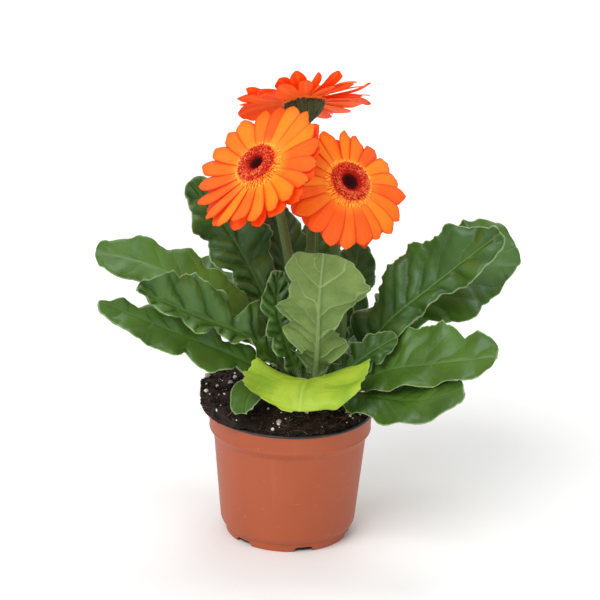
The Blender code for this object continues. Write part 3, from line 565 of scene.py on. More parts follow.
class Shader:
    """A Principled material and the nodes that feed it."""

    def __init__(self, name):
        self.material = bpy.data.materials.new(name)
        self.material.use_nodes = True
        self.tree = self.material.node_tree
        self.principled = self.tree.nodes["Principled BSDF"]

    def node(self, kind, settings=None, inputs=None, output=0):
        """Adds a node, with its settings first and then the values or links of its sockets."""
        made = self.tree.nodes.new(kind)
        for name, value in (settings or {}).items():
            setattr(made, name, value)
        for key, value in (inputs or {}).items():
            if isinstance(value, Socket):
                self.tree.links.new(value.socket, made.inputs[key])
            else:
                made.inputs[key].default_value = value
        return Socket(self, made.outputs[output])

    def value(self, name):
        """A value stored at the mesh's points."""
        return self.node("ShaderNodeAttribute", {"attribute_name": name}, output="Fac")

    def place(self):
        """The place on the object, in metres."""
        return self.node("ShaderNodeTexCoord", output="Object")

    def vector(self, x, y, z):
        return self.node("ShaderNodeCombineXYZ", {}, {0: x, 1: y, 2: z})

    def stretched(self, place, factors):
        """The place with each of its coordinates multiplied by a factor."""
        return self.node("ShaderNodeVectorMath", {"operation": "MULTIPLY"}, {0: place, 1: factors})

    def noise(self, place, scale, detail=2.0, distortion=0.0):
        inputs = {"Vector": place, "Scale": scale, "Detail": detail, "Distortion": distortion}
        return self.node("ShaderNodeTexNoise", {}, inputs)

    def cells(self, place, scale, feature="F1"):
        """The distance to the nearest of random points, or to the nearest edge between them."""
        inputs = {"Vector": place, "Scale": scale}
        return self.node("ShaderNodeTexVoronoi", {"feature": feature}, inputs, output="Distance")

    def coats(self, colour, *coats):
        """A colour with others laid over it in turn, each given as (colour, share)."""
        for coat, share in coats:
            # A Mix node's colours are its inputs 6 and 7 and its output 2
            inputs = {0: share}
            for key, tint in ((6, colour), (7, coat)):
                inputs[key] = tint if isinstance(tint, Socket) else (*tint, 1.0)
            colour = self.node("ShaderNodeMix", {"data_type": "RGBA"}, inputs, output=2)
        return colour

    def bump(self, height_mm):
        """Relief from a height in millimetres."""
        inputs = {"Height": height_mm, "Strength": 1.0, "Distance": MM}
        return self.node("ShaderNodeBump", {}, inputs, output="Normal")

    def finish(self, colour, roughness, height_mm=None, glow=0.0, **settings):
        """Links or sets the Principled sockets and returns the material."""
        inputs = {"Base Color": colour, "Roughness": roughness}
        # Painted glow: emission in the surface's own colour stands in for light shining through thin
        # petals and florets
        if glow:
            inputs["Emission Color"] = colour
            inputs["Emission Strength"] = glow
        if height_mm is not None:
            inputs["Normal"] = self.bump(height_mm)
        inputs.update({key.replace("_", " "): value for key, value in settings.items()})
        for key, value in inputs.items():
            target = self.principled.inputs[key]
            if isinstance(value, Socket):
                self.tree.links.new(value.socket, target)
            else:
                target.default_value = (*value, 1.0) if np.shape(value) else value
        return self.material


# Materials

STALK_GREEN = (0.10, 0.15, 0.04)


def leaf_veins(s):
    """Nearness to the side veins, from 0 to 1, and the small network between them."""
    along, across = s.value("along"), s.value("across")
    course = s.value("course") + 0.5
    off = abs(course.fraction() - 0.5) * s.value("pitch")
    lesser = abs((course * 0.5).fraction() * 2.0 - 1.0).ramp(0.3, 0.7)
    reach = abs(across) / (s.value("edge_gap") + abs(across) + 0.01)
    breadth = (0.68 - 0.45 * reach) * (0.65 + 0.35 * lesser)
    vein = 1.0 - (off / breadth).ramp(0.45, 1.3)
    net = s.cells(s.vector(along * MM, across * MM, s.value("tone")), 330.0, "DISTANCE_TO_EDGE")
    return vein, net


def leaf_midrib(s, low, high):
    """1 within the low share of the midrib's radius and 0 past the high one."""
    return 1.0 - (abs(s.value("across")) / s.value("rib")).ramp(low, high)


def leaf_margin(s, low, high):
    """1 within the low distance from the blade's edge, in mm, and 0 past the high one."""
    return 1.0 - s.value("edge_gap").ramp(low, high)


def leaf_top_material(look):
    s = Shader("leaf_top")
    place = s.place()
    vein, net = leaf_veins(s)
    patches = s.noise(place, 45.0, 4.0)
    fine = s.noise(place, 900.0, 3.0)
    tone = s.value("tone") + (patches - 0.5) * 0.9
    swell, clear, stalk = s.value("swell"), s.value("veins"), s.value("stalk")
    green = s.coats(
        look.dark_green,
        (look.light_green, tone.ramp(-0.1, 1.1)),
        # Painted shade in the hollows of the quilting and a painted bluish highlight on its swells
        ((0.007, 0.024, 0.002), (0.0 - swell).ramp(0.0, 0.5) * 0.55),
        ((0.095, 0.185, 0.055), swell.ramp(0.15, 0.7) * 0.35),
        ((0.125, 0.235, 0.040), vein * clear * 0.55),
        ((0.20, 0.33, 0.075), leaf_midrib(s, 0.25, 0.65) * clear),
        (STALK_GREEN, stalk),
        (look.margin, leaf_margin(s, 0.35, 0.95) * 0.75),
    )
    rough = 0.34 + 0.12 * fine + 0.10 * vein + 0.3 * stalk
    height = 0.03 * net.ramp(0.0, 0.25) - 0.08 * vein + 0.015 * fine + 0.20 * patches
    return s.finish(green, rough, height, Specular_IOR_Level=0.42, Specular_Tint=(0.80, 0.95, 1.0))


def leaf_under_material(look):
    s = Shader("leaf_underside")
    place = s.place()
    vein, net = leaf_veins(s)
    patches = s.noise(place, 60.0, 3.0)
    wool = s.noise(place, 1800.0, 2.0)
    green = s.coats(
        (0.105, 0.172, 0.036),
        (look.underside, patches.ramp(0.25, 0.75)),
        ((0.24, 0.33, 0.11), (1.0 - net.ramp(0.0, 0.22)) * 0.10),
        ((0.25, 0.35, 0.12), vein * 0.7),
        ((0.27, 0.36, 0.14), leaf_midrib(s, 0.75, 1.35) * 0.6),
        (STALK_GREEN, s.value("stalk") * 0.8),
        (look.margin, leaf_margin(s, 0.35, 0.95) * 0.75),
    )
    height = 0.16 * (1.0 - net.ramp(0.0, 0.3)) + 0.3 * vein + 0.08 * wool
    return s.finish(green, 0.62 + 0.2 * wool, height, Specular_IOR_Level=0.25, Sheen_Weight=0.10,
                    Sheen_Roughness=0.6)


def lime_material(look):
    s = Shader("young_leaf_lime")
    place = s.place()
    vein, net = leaf_veins(s)
    patches = s.noise(place, 35.0, 3.0)
    fine = s.noise(place, 900.0, 3.0)
    green = s.coats(
        (0.21, 0.36, 0.022),
        (look.lime, patches.ramp(0.3, 0.65)),
        ((0.42, 0.57, 0.07), vein * 0.3),
        ((0.42, 0.57, 0.09), leaf_midrib(s, 0.75, 1.35) * 0.6),
        ((0.20, 0.30, 0.05), s.value("stalk")),
        ((0.38, 0.54, 0.09), leaf_margin(s, 0.2, 0.8) * 0.7),
    )
    height = 0.08 * net.ramp(0.0, 0.3) - 0.12 * vein + 0.04 * fine + 0.2 * patches
    return s.finish(green, 0.42 + 0.15 * fine, height, Specular_IOR_Level=0.3)


def hair_material():
    s = Shader("plant_hair")
    shade = s.noise(s.place(), 400.0)
    return s.finish(s.coats((0.26, 0.34, 0.16), ((0.52, 0.58, 0.38), shade)), 0.55)


def stem_material(look):
    s = Shader("stem_skin")
    along, turn = s.value("along"), s.value("turn")
    streaks = s.noise(s.vector(along * 0.02, turn * 3.0, 0.0), 3.0, 3.0)
    fine = s.noise(s.place(), 1500.0, 2.0)
    green = s.coats(
        (0.085, 0.152, 0.038),
        (look.stem_green, streaks.ramp(0.3, 0.7)),
        ((0.065, 0.075, 0.028), 0.6 - (along / 40.0).ramp(0.0, 1.0) * 0.6),
    )
    height = 0.25 * streaks + 0.05 * fine
    return s.finish(green, 0.5 + 0.2 * fine, height, Specular_IOR_Level=0.3, Sheen_Weight=0.15,
                    Sheen_Roughness=0.5)


def bract_material():
    s = Shader("bract_skin")
    across = abs(s.value("across"))
    fine = s.noise(s.place(), 1200.0, 3.0)
    green = s.coats(
        (0.035, 0.055, 0.016),
        ((0.060, 0.085, 0.030), fine),
        ((0.13, 0.16, 0.07), across.ramp(0.5, 1.0) * 0.8),
        ((0.055, 0.025, 0.02), s.value("reach").ramp(0.6, 1.0) * 0.75),
    )
    height = 0.1 * fine + 0.15 * (1.0 - across)
    return s.finish(green, 0.62 + 0.15 * fine, height, Specular_IOR_Level=0.2)


def petal_lines(s, across_scale, shade_scale):
    """Long soft streaks and fine ribs along a petal."""
    reach, across, shade = s.value("reach"), s.value("across"), s.value("shade")
    streaks = s.noise(s.vector(reach * 1.2, across * across_scale, shade * shade_scale), 3.0, 3.0)
    ribs = abs((across * 6.5 + shade * 0.3).fraction() - 0.5) * 2.0
    return streaks, ribs


def petal_material(look):
    s = Shader("petal_face")
    reach, across, shade = s.value("reach"), abs(s.value("across")), s.value("shade")
    layer = s.value("layer")
    streaks, ribs = petal_lines(s, 5.0, 40.0)
    fine = s.noise(s.place(), 1500.0, 2.0)
    orange = s.coats(
        look.petal,
        ((0.93, 0.098, 0.004), (shade * 0.55 + streaks * 0.45).ramp(0.3, 0.8)),
        (look.petal_base, (1.0 - reach.ramp(0.05, 0.42)) * (1.0 - 0.55 * layer) * 0.8),
        # Redder edges: partly the petals' own colour, partly painted shade of the gaps between petals
        ((0.86, 0.060, 0.003), across.ramp(0.62, 1.0) * reach.ramp(0.1, 0.5) * 0.6),
        ((0.90, 0.085, 0.004), reach.ramp(0.72, 1.0) * 0.4),
        # The back layer redder: partly its own colour, partly painted shade under the front petals
        ((0.80, 0.045, 0.003), layer * 0.6),
        # A thin dark red line along each edge: painted shade in the gaps between petals
        ((0.50, 0.022, 0.002), across.ramp(0.86, 1.0) * reach.ramp(0.15, 0.3) * 0.75),
    )
    height = 0.06 * ribs + 0.15 * streaks + 0.02 * fine
    # A faint painted glow stands in for light through the petal
    return s.finish(orange, 0.5 + 0.12 * fine, height, glow=0.06, Specular_IOR_Level=0.25)


def petal_back_material():
    s = Shader("petal_back")
    streaks, ribs = petal_lines(s, 6.0, 30.0)
    orange = s.coats(
        (1.0, 0.125, 0.012),
        ((0.95, 0.07, 0.004), (streaks * 0.6 + s.value("shade") * 0.4).ramp(0.3, 0.7)),
        ((0.95, 0.24, 0.06), (1.0 - abs(s.value("across")).ramp(0.0, 0.35)) * 0.3),
        ((0.60, 0.16, 0.03), (1.0 - s.value("reach").ramp(0.0, 0.3)) * 0.6),
    )
    # A stronger painted glow stands in for light shining through the petals from behind
    return s.finish(orange, 0.6, 0.08 * ribs + 0.12 * streaks, glow=0.22, Specular_IOR_Level=0.2)


def floret_material(look):
    """The stored warmth runs from the dark middle of the disc to the orange fringe."""
    s = Shader("floret")
    reach, warmth = s.value("reach"), s.value("warmth")
    fine = s.noise(s.place(), 1200.0, 2.0)
    inner = warmth.ramp(0.25, 0.6) * (1.0 - warmth.ramp(0.68, 0.78))
    red = s.coats(
        (0.040, 0.0012, 0.0030),
        (look.disc_red, warmth.ramp(0.05, 0.34)),
        ((0.92, 0.15, 0.020), warmth.ramp(0.45, 0.70)),
        ((1.0, 0.50, 0.060), warmth.ramp(0.70, 0.80)),
        ((0.90, 0.13, 0.05), reach.ramp(0.6, 1.0) * inner * 0.5),
    )
    # A painted glow lifts the florets as if lit through
    return s.finish(red, 0.6 + 0.15 * fine, 0.05 * fine, glow=0.10, Specular_IOR_Level=0.12)


def style_material():
    s = Shader("floret_style")
    colour = s.coats((0.80, 0.05, 0.015), ((1.0, 0.43, 0.13), s.value("reach").ramp(0.3, 0.9)))
    return s.finish(colour, 0.5)


def pot_material(look):
    s = Shader("terracotta_plastic")
    place = s.place()
    broad = s.noise(place, 22.0, 3.0)
    fine = s.noise(place, 1400.0, 3.0)
    flow = s.noise(s.stretched(place, (1.0, 1.0, 0.12)), 160.0, 3.0)
    specks = 1.0 - s.cells(place, 95.0).ramp(0.035, 0.07)
    chosen = s.noise(place, 37.0).ramp(0.56, 0.62)
    scuff = s.noise(s.stretched(place, (1.0, 1.0, 6.0)), 60.0, 5.0, 1.5).ramp(0.66, 0.74)
    colour = s.coats(
        look.plastic,
        ((0.345, 0.072, 0.027), broad.ramp(0.35, 0.75) * 0.5),
        ((0.45, 0.125, 0.055), flow.ramp(0.55, 0.8) * 0.25),
        ((0.70, 0.42, 0.30), specks * chosen * 0.7),
        ((0.60, 0.24, 0.14), scuff * 0.4),
    )
    rough = 0.40 + 0.14 * fine + 0.18 * scuff
    height = 0.02 * fine + 0.05 * broad - 0.03 * scuff
    return s.finish(colour, rough, height, Specular_IOR_Level=0.3)


def pot_inside_material():
    s = Shader("pot_inside")
    place = s.place()
    fine = s.noise(place, 700.0, 3.0)
    dust = s.noise(place, 150.0, 4.0).ramp(0.5, 0.75)
    colour = s.coats((0.020, 0.014, 0.016), ((0.05, 0.035, 0.030), dust))
    return s.finish(colour, 0.26 + 0.3 * dust + 0.1 * fine, 0.03 * fine)


def peat_material(look):
    s = Shader("peat")
    place = s.place()
    lumps = s.noise(place, 260.0, 5.0)
    fine = s.noise(place, 1500.0, 4.0)
    fibre = s.noise(s.stretched(place, (1.0, 4.0, 2.0)), 300.0, 4.0, 2.0).ramp(0.62, 0.7)
    colour = s.coats(
        (0.0040, 0.0022, 0.0016),
        (look.peat, (lumps * 0.6 + s.value("shade") * 0.5).ramp(0.3, 0.9)),
        ((0.085, 0.026, 0.010), fibre * 0.7),
    )
    return s.finish(colour, 0.78 + 0.15 * fine, 0.5 * lumps + 0.25 * fine, Specular_IOR_Level=0.35)


def perlite_material():
    s = Shader("perlite")
    place = s.place()
    grain = s.noise(place, 900.0, 4.0)
    pits = s.cells(place, 1500.0)
    pale = (s.value("shade") * 0.75 + grain * 0.3).ramp(0.15, 0.7)
    colour = s.coats((0.36, 0.27, 0.20), ((0.84, 0.80, 0.74), pale))
    return s.finish(colour, 0.8, 0.2 * grain + 0.2 * pits)


def bark_material():
    s = Shader("bark_and_roots")
    grain = s.noise(s.place(), 900.0, 3.0)
    pale = (s.value("shade") * 0.8 + grain * 0.3).ramp(0.2, 1.0)
    colour = s.coats((0.030, 0.012, 0.007), ((0.21, 0.090, 0.040), pale))
    return s.finish(colour, 0.75, 0.2 * grain)


def floor_material(look):
    s = Shader("pale_floor")
    grain = s.noise(s.place(), 60.0, 2.0)
    return s.finish(look.floor, 0.7 + 0.1 * grain)


# Pot

def rounded(profile, cut, steps=4):
    """The profile with its corners rounded off, as lists of (radius, height, slot)."""
    made = [profile[0]]
    for before, corner, after in zip(profile, profile[1:], profile[2:]):
        a, b, c = (np.array(p[:2]) for p in (before, corner, after))
        near = min(cut, np.linalg.norm(a - b) * 0.45, np.linalg.norm(c - b) * 0.45)
        start, end = b + unit(a - b) * near, b + unit(c - b) * near
        for t in np.linspace(0.0, 1.0, steps):
            place = start * (1 - t) ** 2 + b * (2 * t * (1 - t)) + end * t * t
            made.append((place[0], place[1], corner[2]))
    return made + [profile[-1]]


def pot_profile():
    """From the inner floor over the lip to the middle of the base, as (radius, height, slot)."""
    inside = [
        (0.05, WALL),
        (FOOT_RADIUS - WALL, WALL),
        (FOOT_RADIUS + 0.6 - WALL, 7.4),
        (BODY_FOOT_RADIUS - WALL, BODY_FOOT_HEIGHT + 0.4),
        (BODY_TOP_RADIUS - WALL, BODY_TOP_HEIGHT + 0.4),
        (BAND_RADIUS - WALL, BAND_FOOT_HEIGHT + 0.6),
        (BAND_RADIUS + 0.9 - WALL, POT_HEIGHT - 0.15),
        (BAND_RADIUS + 1.25 - WALL, POT_HEIGHT),
        (RIM_RADIUS, POT_HEIGHT),
        (RIM_RADIUS, POT_HEIGHT - 1.2),
    ]
    outside = [
        (BAND_RADIUS + 0.7, POT_HEIGHT - 2.0),
        (BAND_RADIUS + 0.05, BAND_FOOT_HEIGHT + 1.7),
        (BAND_RADIUS + 0.35, BAND_FOOT_HEIGHT + 1.2),
        (BAND_RADIUS, BAND_FOOT_HEIGHT),
        (BODY_TOP_RADIUS + 0.8, BODY_TOP_HEIGHT + 1.6),
        (BODY_TOP_RADIUS, BODY_TOP_HEIGHT),
        (BODY_FOOT_RADIUS, BODY_FOOT_HEIGHT),
        (FOOT_RADIUS + 2.4, 7.4),
        (FOOT_RADIUS + 0.6, 6.0),
        (FOOT_RADIUS, 0.8),
        (FOOT_RADIUS - 0.8, 0.0),
        (FOOT_RADIUS - 3.2, 0.0),
        (FOOT_RADIUS - 3.8, 0.9),
        (0.05, 0.9),
    ]
    profile = [(*place, 1) for place in inside] + [(*place, 0) for place in outside]
    return rounded(profile, 0.8)


def build_pot(look):
    profile = pot_profile()
    sides = 144
    turns = circle(sides)
    radius, height = (np.array(column)[:, None] for column in list(zip(*profile))[:2])
    shells = Shells()
    shells.loft(points_from(radius * np.cos(turns), radius * np.sin(turns), height))
    pot = shells.to_object("pot_shell", [pot_material(look), pot_inside_material()])
    row_slots = np.repeat([min(a[2], b[2]) for a, b in zip(profile, profile[1:])], sides)
    slots = np.concatenate([row_slots, [1, 0]]).astype(np.int32)
    pot.data.polygons.foreach_set("material_index", slots)
    cutters = [drain_cutter(k) for k in range(NOTCH_COUNT)]
    for cutter in cutters:
        cut = pot.modifiers.new(cutter.name, "BOOLEAN")
        cut.operation = "DIFFERENCE"
        cut.object = cutter
    bpy.context.view_layer.update()
    graph = bpy.context.evaluated_depsgraph_get()
    shaped = bpy.data.meshes.new_from_object(pot.evaluated_get(graph))
    pot.modifiers.clear()
    pot.data = shaped
    shaped.set_sharp_from_angle(angle=math.radians(POT_SHARP_DEG))
    for cutter in cutters:
        bpy.data.objects.remove(cutter)
    settle(pot, "pot", "pot")


def drain_cutter(k):
    """An arch through the foot ring and the edge of the floor."""
    half, top = 7.5, 3.8
    right = [(half, -2.0), (half - 0.5, top * 0.5), (half - 1.6, top * 0.86), (half - 3.4, top)]
    arch = [(-half, -2.0), *right, *((-y, z) for y, z in right[:0:-1])]
    turn = math.radians(NOTCH_FIRST_DEG + 360.0 / NOTCH_COUNT * k)
    across = np.array([-math.sin(turn), math.cos(turn), 0.0])
    out = np.array([math.cos(turn), math.sin(turn), 0.0])
    rings = [[out * reach + across * y + np.array([0.0, 0.0, z]) for y, z in arch]
             for reach in (FOOT_RADIUS - 9.0, FOOT_RADIUS + 4.0)]
    shells = Shells()
    shells.loft(rings)
    return shells.to_object("drain_cutter_" + str(k), [])


# Soil

def soil_edge(angle):
    """Height of the soil where it meets the rim: the root ball stands proud on the left."""
    swell = np.maximum(0.0, np.cos(angle - math.radians(SOIL_LEFT_DEG)))
    return SOIL_FRONT_HEIGHT + SOIL_LEFT_RISE * smooth(swell * 1.25)


def soil_height(x, y):
    """Height of the soil's surface at a place inside the pot, without its crumbs."""
    reach = np.minimum(np.hypot(x, y) / (BAND_RADIUS - WALL), 1.0)
    edge = soil_edge(np.arctan2(y, x))
    return edge + (SOIL_CROWN_HEIGHT - edge) * (1.0 - reach**2.2)


def soil_reach(angle):
    """How far out the soil goes at an angle, in mm."""
    rise = (soil_edge(angle) - POT_HEIGHT) / 6.0
    return SOIL_RADIUS + smooth(rise * 2.0 - 1.0) * (RIM_RADIUS + SOIL_OVERHANG - SOIL_RADIUS)


def build_soil(look):
    shells = Shells()
    turns = circle(220)
    crust, crumb = soil_rings(turns)
    shells.loft(crust, shade=0.5 + 0.5 * crumb)
    scatter_crumbs(shells)
    peat = shells.to_object("peat", [peat_material(look)])
    settle(peat, "soil", "soil")
    build_perlite()
    build_bark()


def soil_rings(turns):
    """Rings of the soil from its foot to the middle of its surface, and how its crumb swells."""
    def ring(reach, height):
        return points_from(np.cos(turns) * reach, np.sin(turns) * reach, height)

    # How far the soil stands proud of the rim, from 0 to 1, and where its bare side begins
    proud = smooth((soil_edge(turns) - POT_HEIGHT - 0.5) / 2.5)
    hidden, over_rim = SOIL_FRONT_HEIGHT - 3.4, POT_HEIGHT + 0.9
    low = hidden + proud * (over_rim - hidden)
    top = np.maximum(soil_edge(turns) - 1.0, low + 0.8)
    reach = soil_reach(turns)
    wall = WALL + SOIL_WALL_GAP
    rings = [
        ring(FOOT_RADIUS - wall, WALL + 0.3),
        ring(FOOT_RADIUS + 0.4 - wall, 7.8),
        ring(BODY_FOOT_RADIUS - wall, BODY_FOOT_HEIGHT + 1.4),
        ring(BODY_TOP_RADIUS - wall, BODY_TOP_HEIGHT + 0.4),
        ring(SOIL_RADIUS, low),
        ring(reach - 0.6 * proud, low + 0.4),
    ]
    buried = len(rings)
    rings += [ring(reach - 0.8, low + (top - low) * share) for share in np.linspace(0.15, 1.0, 9)]
    side = len(rings)
    for share in np.linspace(1.0, 0.02, 74)[1:]:
        across = (reach - 0.8) * share
        height = soil_height(across * np.cos(turns), across * np.sin(turns))
        height = top + (height - top) * smooth((1.0 - share) / 0.05)
        rings.append(ring(across, np.maximum(height, low)))
    rings = np.array(rings)

    crumb = layered_noise(rings / 6.5, 4, 5)
    loose = np.zeros(rings.shape[:2])
    loose[buried:] = 1.0
    rings[..., 2] += 1.3 * crumb * loose * smooth((rings[..., 2] - low) / 2.0)
    # The bare side and the rows next to it also bulge outward
    loose[side + 8:] = 0.0
    bulge = 1.6 * layered_noise(rings / 5.0 + 9.0, 4, 11) * proud * loose
    rings += points_from(np.cos(turns), np.sin(turns), 0.0) * bulge[..., None]
    return rings, crumb


def surface_places(draw, count):
    """Random places all over the soil's surface."""
    angle = draw.uniform(-math.pi, math.pi, count)
    reach = (soil_reach(angle) - 1.2) * np.sqrt(draw.uniform(0.0, 1.0, count))
    x, y = reach * np.cos(angle), reach * np.sin(angle)
    return np.stack([x, y, soil_height(x, y)], -1)


def wall_places(draw, count):
    """Random places on the bare side of the root ball, over the rim on the left."""
    angle = math.radians(SOIL_LEFT_DEG) + draw.uniform(-0.95, 0.95, count)
    share = draw.uniform(0.1, 1.0, count)
    reach = soil_reach(angle) - 0.6
    low = POT_HEIGHT + 1.2
    height = low + (soil_edge(angle) - low) * share
    return np.stack([reach * np.cos(angle), reach * np.sin(angle), height], -1)


def scatter_crumbs(shells):
    draw = np.random.default_rng(21)
    places = np.concatenate([surface_places(draw, 1500), wall_places(draw, 400)])
    sizes = draw.uniform(0.5, 1.5, (len(places), 1)) ** 1.5 * draw.uniform(0.6, 1.3, (len(places), 3))
    places[:, 2] += 0.2
    shells.lumps(places, sizes, level=1, seed=22, rough=0.3, shade=draw.uniform(0.0, 1.2, len(places)))


def build_perlite():
    """Pale grains: the large ones at their places in the photograph, small ones anywhere."""
    draw = np.random.default_rng(31)
    large = np.array(PERLITE)
    small = np.concatenate([surface_places(draw, 150), wall_places(draw, 26)])
    small_radii = 0.3 + 1.6 * draw.uniform(0.0, 1.0, len(small)) ** 3
    centres = np.concatenate([large[:, :3], small])
    radii = np.concatenate([large[:, 3], small_radii])[:, None]
    radii = radii * draw.uniform(0.75, 1.15, (len(centres), 3))
    centres[:, 2] += 0.5
    shades = draw.uniform(0.2, 1.0, len(centres))
    shells = Shells()
    shells.lumps(centres, radii, level=2, seed=33, rough=0.13, shade=shades)
    settle(shells.to_object("perlite", [perlite_material()]), "soil")


def add_fibre(shells, draw, start, run, bend):
    """One fine bent root from its start along a run."""
    t = np.linspace(0.0, 1.0, 9)[:, None]
    path = start + run * t + draw.normal(size=3) * bend * t**2
    turns = circle(4)
    across = points_from(np.cos(turns), np.sin(turns), 0.0) @ turn_matrix(draw)
    shells.loft(path[:, None] + across * (0.20 - 0.12 * t)[:, None], shade=draw.uniform(0.6, 1.0))


def build_bark():
    """Splinters of bark and fine roots on the soil, with roots that stick out on the left."""
    draw = np.random.default_rng(41)
    shells = Shells()
    add_splinters(shells, draw)
    for _ in range(30):
        start = wall_places(draw, 1)[0]
        out = unit(np.array([start[0], start[1], draw.uniform(-35.0, 20.0)]))
        add_fibre(shells, draw, start - out, out * draw.uniform(2.5, 7.0), 2.2)
    for _ in range(110):
        angle = draw.uniform(-1.9, -0.3)
        reach = soil_reach(angle) * draw.uniform(0.5, 0.95)
        x, y = reach * math.cos(angle), reach * math.sin(angle)
        heading = draw.uniform(0.0, 2 * math.pi)
        out = np.array([math.cos(heading), math.sin(heading), draw.uniform(0.0, 0.3)])
        start = np.array([x, y, soil_height(x, y) + 0.8])
        add_fibre(shells, draw, start, out * draw.uniform(3.0, 9.0), 1.6)
    settle(shells.to_object("bark_and_roots", [bark_material()]), "soil")


def add_splinters(shells, draw):
    places = np.concatenate([surface_places(draw, 420), wall_places(draw, 90)])
    count = len(places)
    heading = draw.uniform(0.0, 2 * math.pi, count)
    direction = np.stack([np.cos(heading), np.sin(heading), draw.uniform(-0.35, 0.35, count)], -1)
    half = draw.uniform(1.0, 3.6, (count, 1)) ** 1.2 * 0.7
    side = unit(np.cross(direction, [0.0, 0.0, 1.0]))
    up = np.cross(side, direction)
    breadth = draw.uniform(0.12, 0.55, (count, 1))
    rings = []
    for share, size in ((-1.0, 0.4), (-0.5, 1.0), (0.45, 0.9), (1.0, 0.25)):
        middle = places + direction * half * share + up * (0.6 + 0.3 * share**2)
        wide, tall = side * breadth * size, up * breadth * 0.5 * size
        rings.append(np.stack([middle + wide, middle + tall, middle - wide, middle - tall], 1))
    shells.loft(np.stack(rings, 1), shade=draw.uniform(0.0, 1.0, (count, 1, 1)))


# Leaves

def leaf_spine(leaf):
    x, y = leaf.collar
    collar = np.array((x, y, soil_height(x, y) + 1.0))
    lean = unit(np.array(leaf.near) - collar) * 0.18
    root = collar - unit(np.array((0.0, 0.0, 1.0)) + lean) * ROOT_DEPTH
    return Spine([root, collar, leaf.near, leaf.far, leaf.tip])


def outline_width(leaf, v, side):
    """Half width of the blade on one side at shares v of its length: round lobes, narrow cuts."""
    shares = np.array((0.0,) + WIDTH_SHARES)
    knots = np.array((PETIOLE_TOP_RADIUS,) + (leaf.right if side > 0 else leaf.left))
    i = np.clip(np.searchsorted(shares, v, side="right") - 1, 0, len(shares) - 2)
    t = (v - shares[i]) / (shares[i + 1] - shares[i])
    low, high = np.minimum(knots[i], knots[i + 1]), np.maximum(knots[i], knots[i + 1])
    climbed = np.clip(np.where(knots[i + 1] >= knots[i], t, 1.0 - t), 0.0, 1.0)
    body = low + (high - low) * (1.0 - (1.0 - climbed) ** 1.6)
    past = np.clip((v - shares[-1]) / (1.0 - shares[-1]), 0.0, 1.0)
    return np.where(v >= shares[-1], knots[-1] * np.sqrt(1.0 - past**2.2), body)


def lobe_tips(leaf, side):
    """Shares of the length at which the lobes of one side are widest, with two more at each end."""
    knots = leaf.right if side > 0 else leaf.left
    tips = [WIDTH_SHARES[i] for i in range(1, len(knots) - 1)
            if knots[i] >= knots[i - 1] and knots[i] > knots[i + 1]]
    tips = tips or [0.5]
    pitch = (tips[-1] - tips[0]) / max(len(tips) - 1, 1) or 0.2
    before = [tips[0] - 2 * pitch, tips[0] - pitch]
    return np.array(before + tips + [tips[-1] + pitch, tips[-1] + 2 * pitch])


class Blade:
    """The grid of one leaf: rows from its root to its tip, and columns across both halves."""

    def __init__(self, leaf, dress):
        self.leaf = leaf
        self.dress = dress
        self.seed = int(1000 * chance("leaf", leaf.name))
        spine = leaf_spine(leaf)
        start = leaf.blade_start * spine.length
        self.length = spine.length - start
        t = np.linspace(0.0, 1.0, int(BLADE_ROWS * dress.finer))
        distances = np.concatenate([
            np.linspace(0.0, start, STALK_ROWS, endpoint=False),
            start + self.length * (1.0 - (1.0 - 0.998 * t) ** 1.15),
        ])
        self.point, self.along = spine.at(distances)
        self.distance = distances[:, None]
        share = self.distance / spine.length
        face = np.array(leaf.face_near) * (1.0 - share) + np.array(leaf.face_far) * share
        self.up = unit(face - self.along * (face * self.along).sum(-1, keepdims=True))
        self.beside = np.cross(self.along, self.up)
        self.v = np.clip((self.distance - start) / self.length, 0.0, 1.0)
        self.taper = smooth(self.v * 4.0) * (1.0 - 0.4 * self.v)
        self.opened = smooth(self.v / 0.14)
        stalk = np.minimum(self.distance / start, 1.0)
        radius = PETIOLE_RADIUS + (PETIOLE_TOP_RADIUS - PETIOLE_RADIUS) * stalk
        self.radius = radius + (MIDRIB_TIP_RADIUS - PETIOLE_TOP_RADIUS) * self.v
        t = np.linspace(-1.0, 1.0, 2 * int(HALF_COLUMNS * dress.finer) + 1)
        self.u = t - 0.6 * np.sin(2 * math.pi * t) / (2 * math.pi)
        self.edge = np.abs(self.u)
        self.right = self.u > 0
        self.side = np.where(self.right, 1.0, -1.0)
        # Side veins lie a share of the blade's length apart, and one or two of them meet each lobe
        self.veins_per_lobe = 2.0 if self.length > 75.0 else 1.0
        self.vein_pitch = self.length * 0.14 / self.veins_per_lobe

    def half_widths(self, v):
        """Half widths at shares v of the blade's length, for the columns on either side."""
        left, right = (outline_width(self.leaf, v, side) for side in (-1, 1))
        return np.where(self.right, right, left)

    def noise(self, x, y, z, seed, octaves=1):
        return layered_noise(points_from(x, y, z), octaves, self.seed + seed)


def blade_widths(blade):
    """Half widths of the blade: evened out, lobed, and between the two towards the midrib."""
    dress = blade.dress
    cut = blade.half_widths(blade.v)
    shifts = np.linspace(-0.11, 0.11, 9)
    around = [blade.half_widths(np.clip(blade.v + shift, 0.0, 1.0)) for shift in shifts]
    fade = smooth((0.92 - blade.v) / 0.08)
    even = cut + (np.mean(around, axis=0) - cut) * fade
    cut = np.maximum(even + (cut - even) * dress.lobes, 0.35 * even)
    frill = blade.noise(blade.distance / 6.0, blade.right * 9.0, 0.5, 0, 3)
    cut = cut * (1.0 + 0.035 * dress.frill * frill * fade)
    return even, cut, np.maximum(even + (cut - even) * blade.edge, blade.radius)


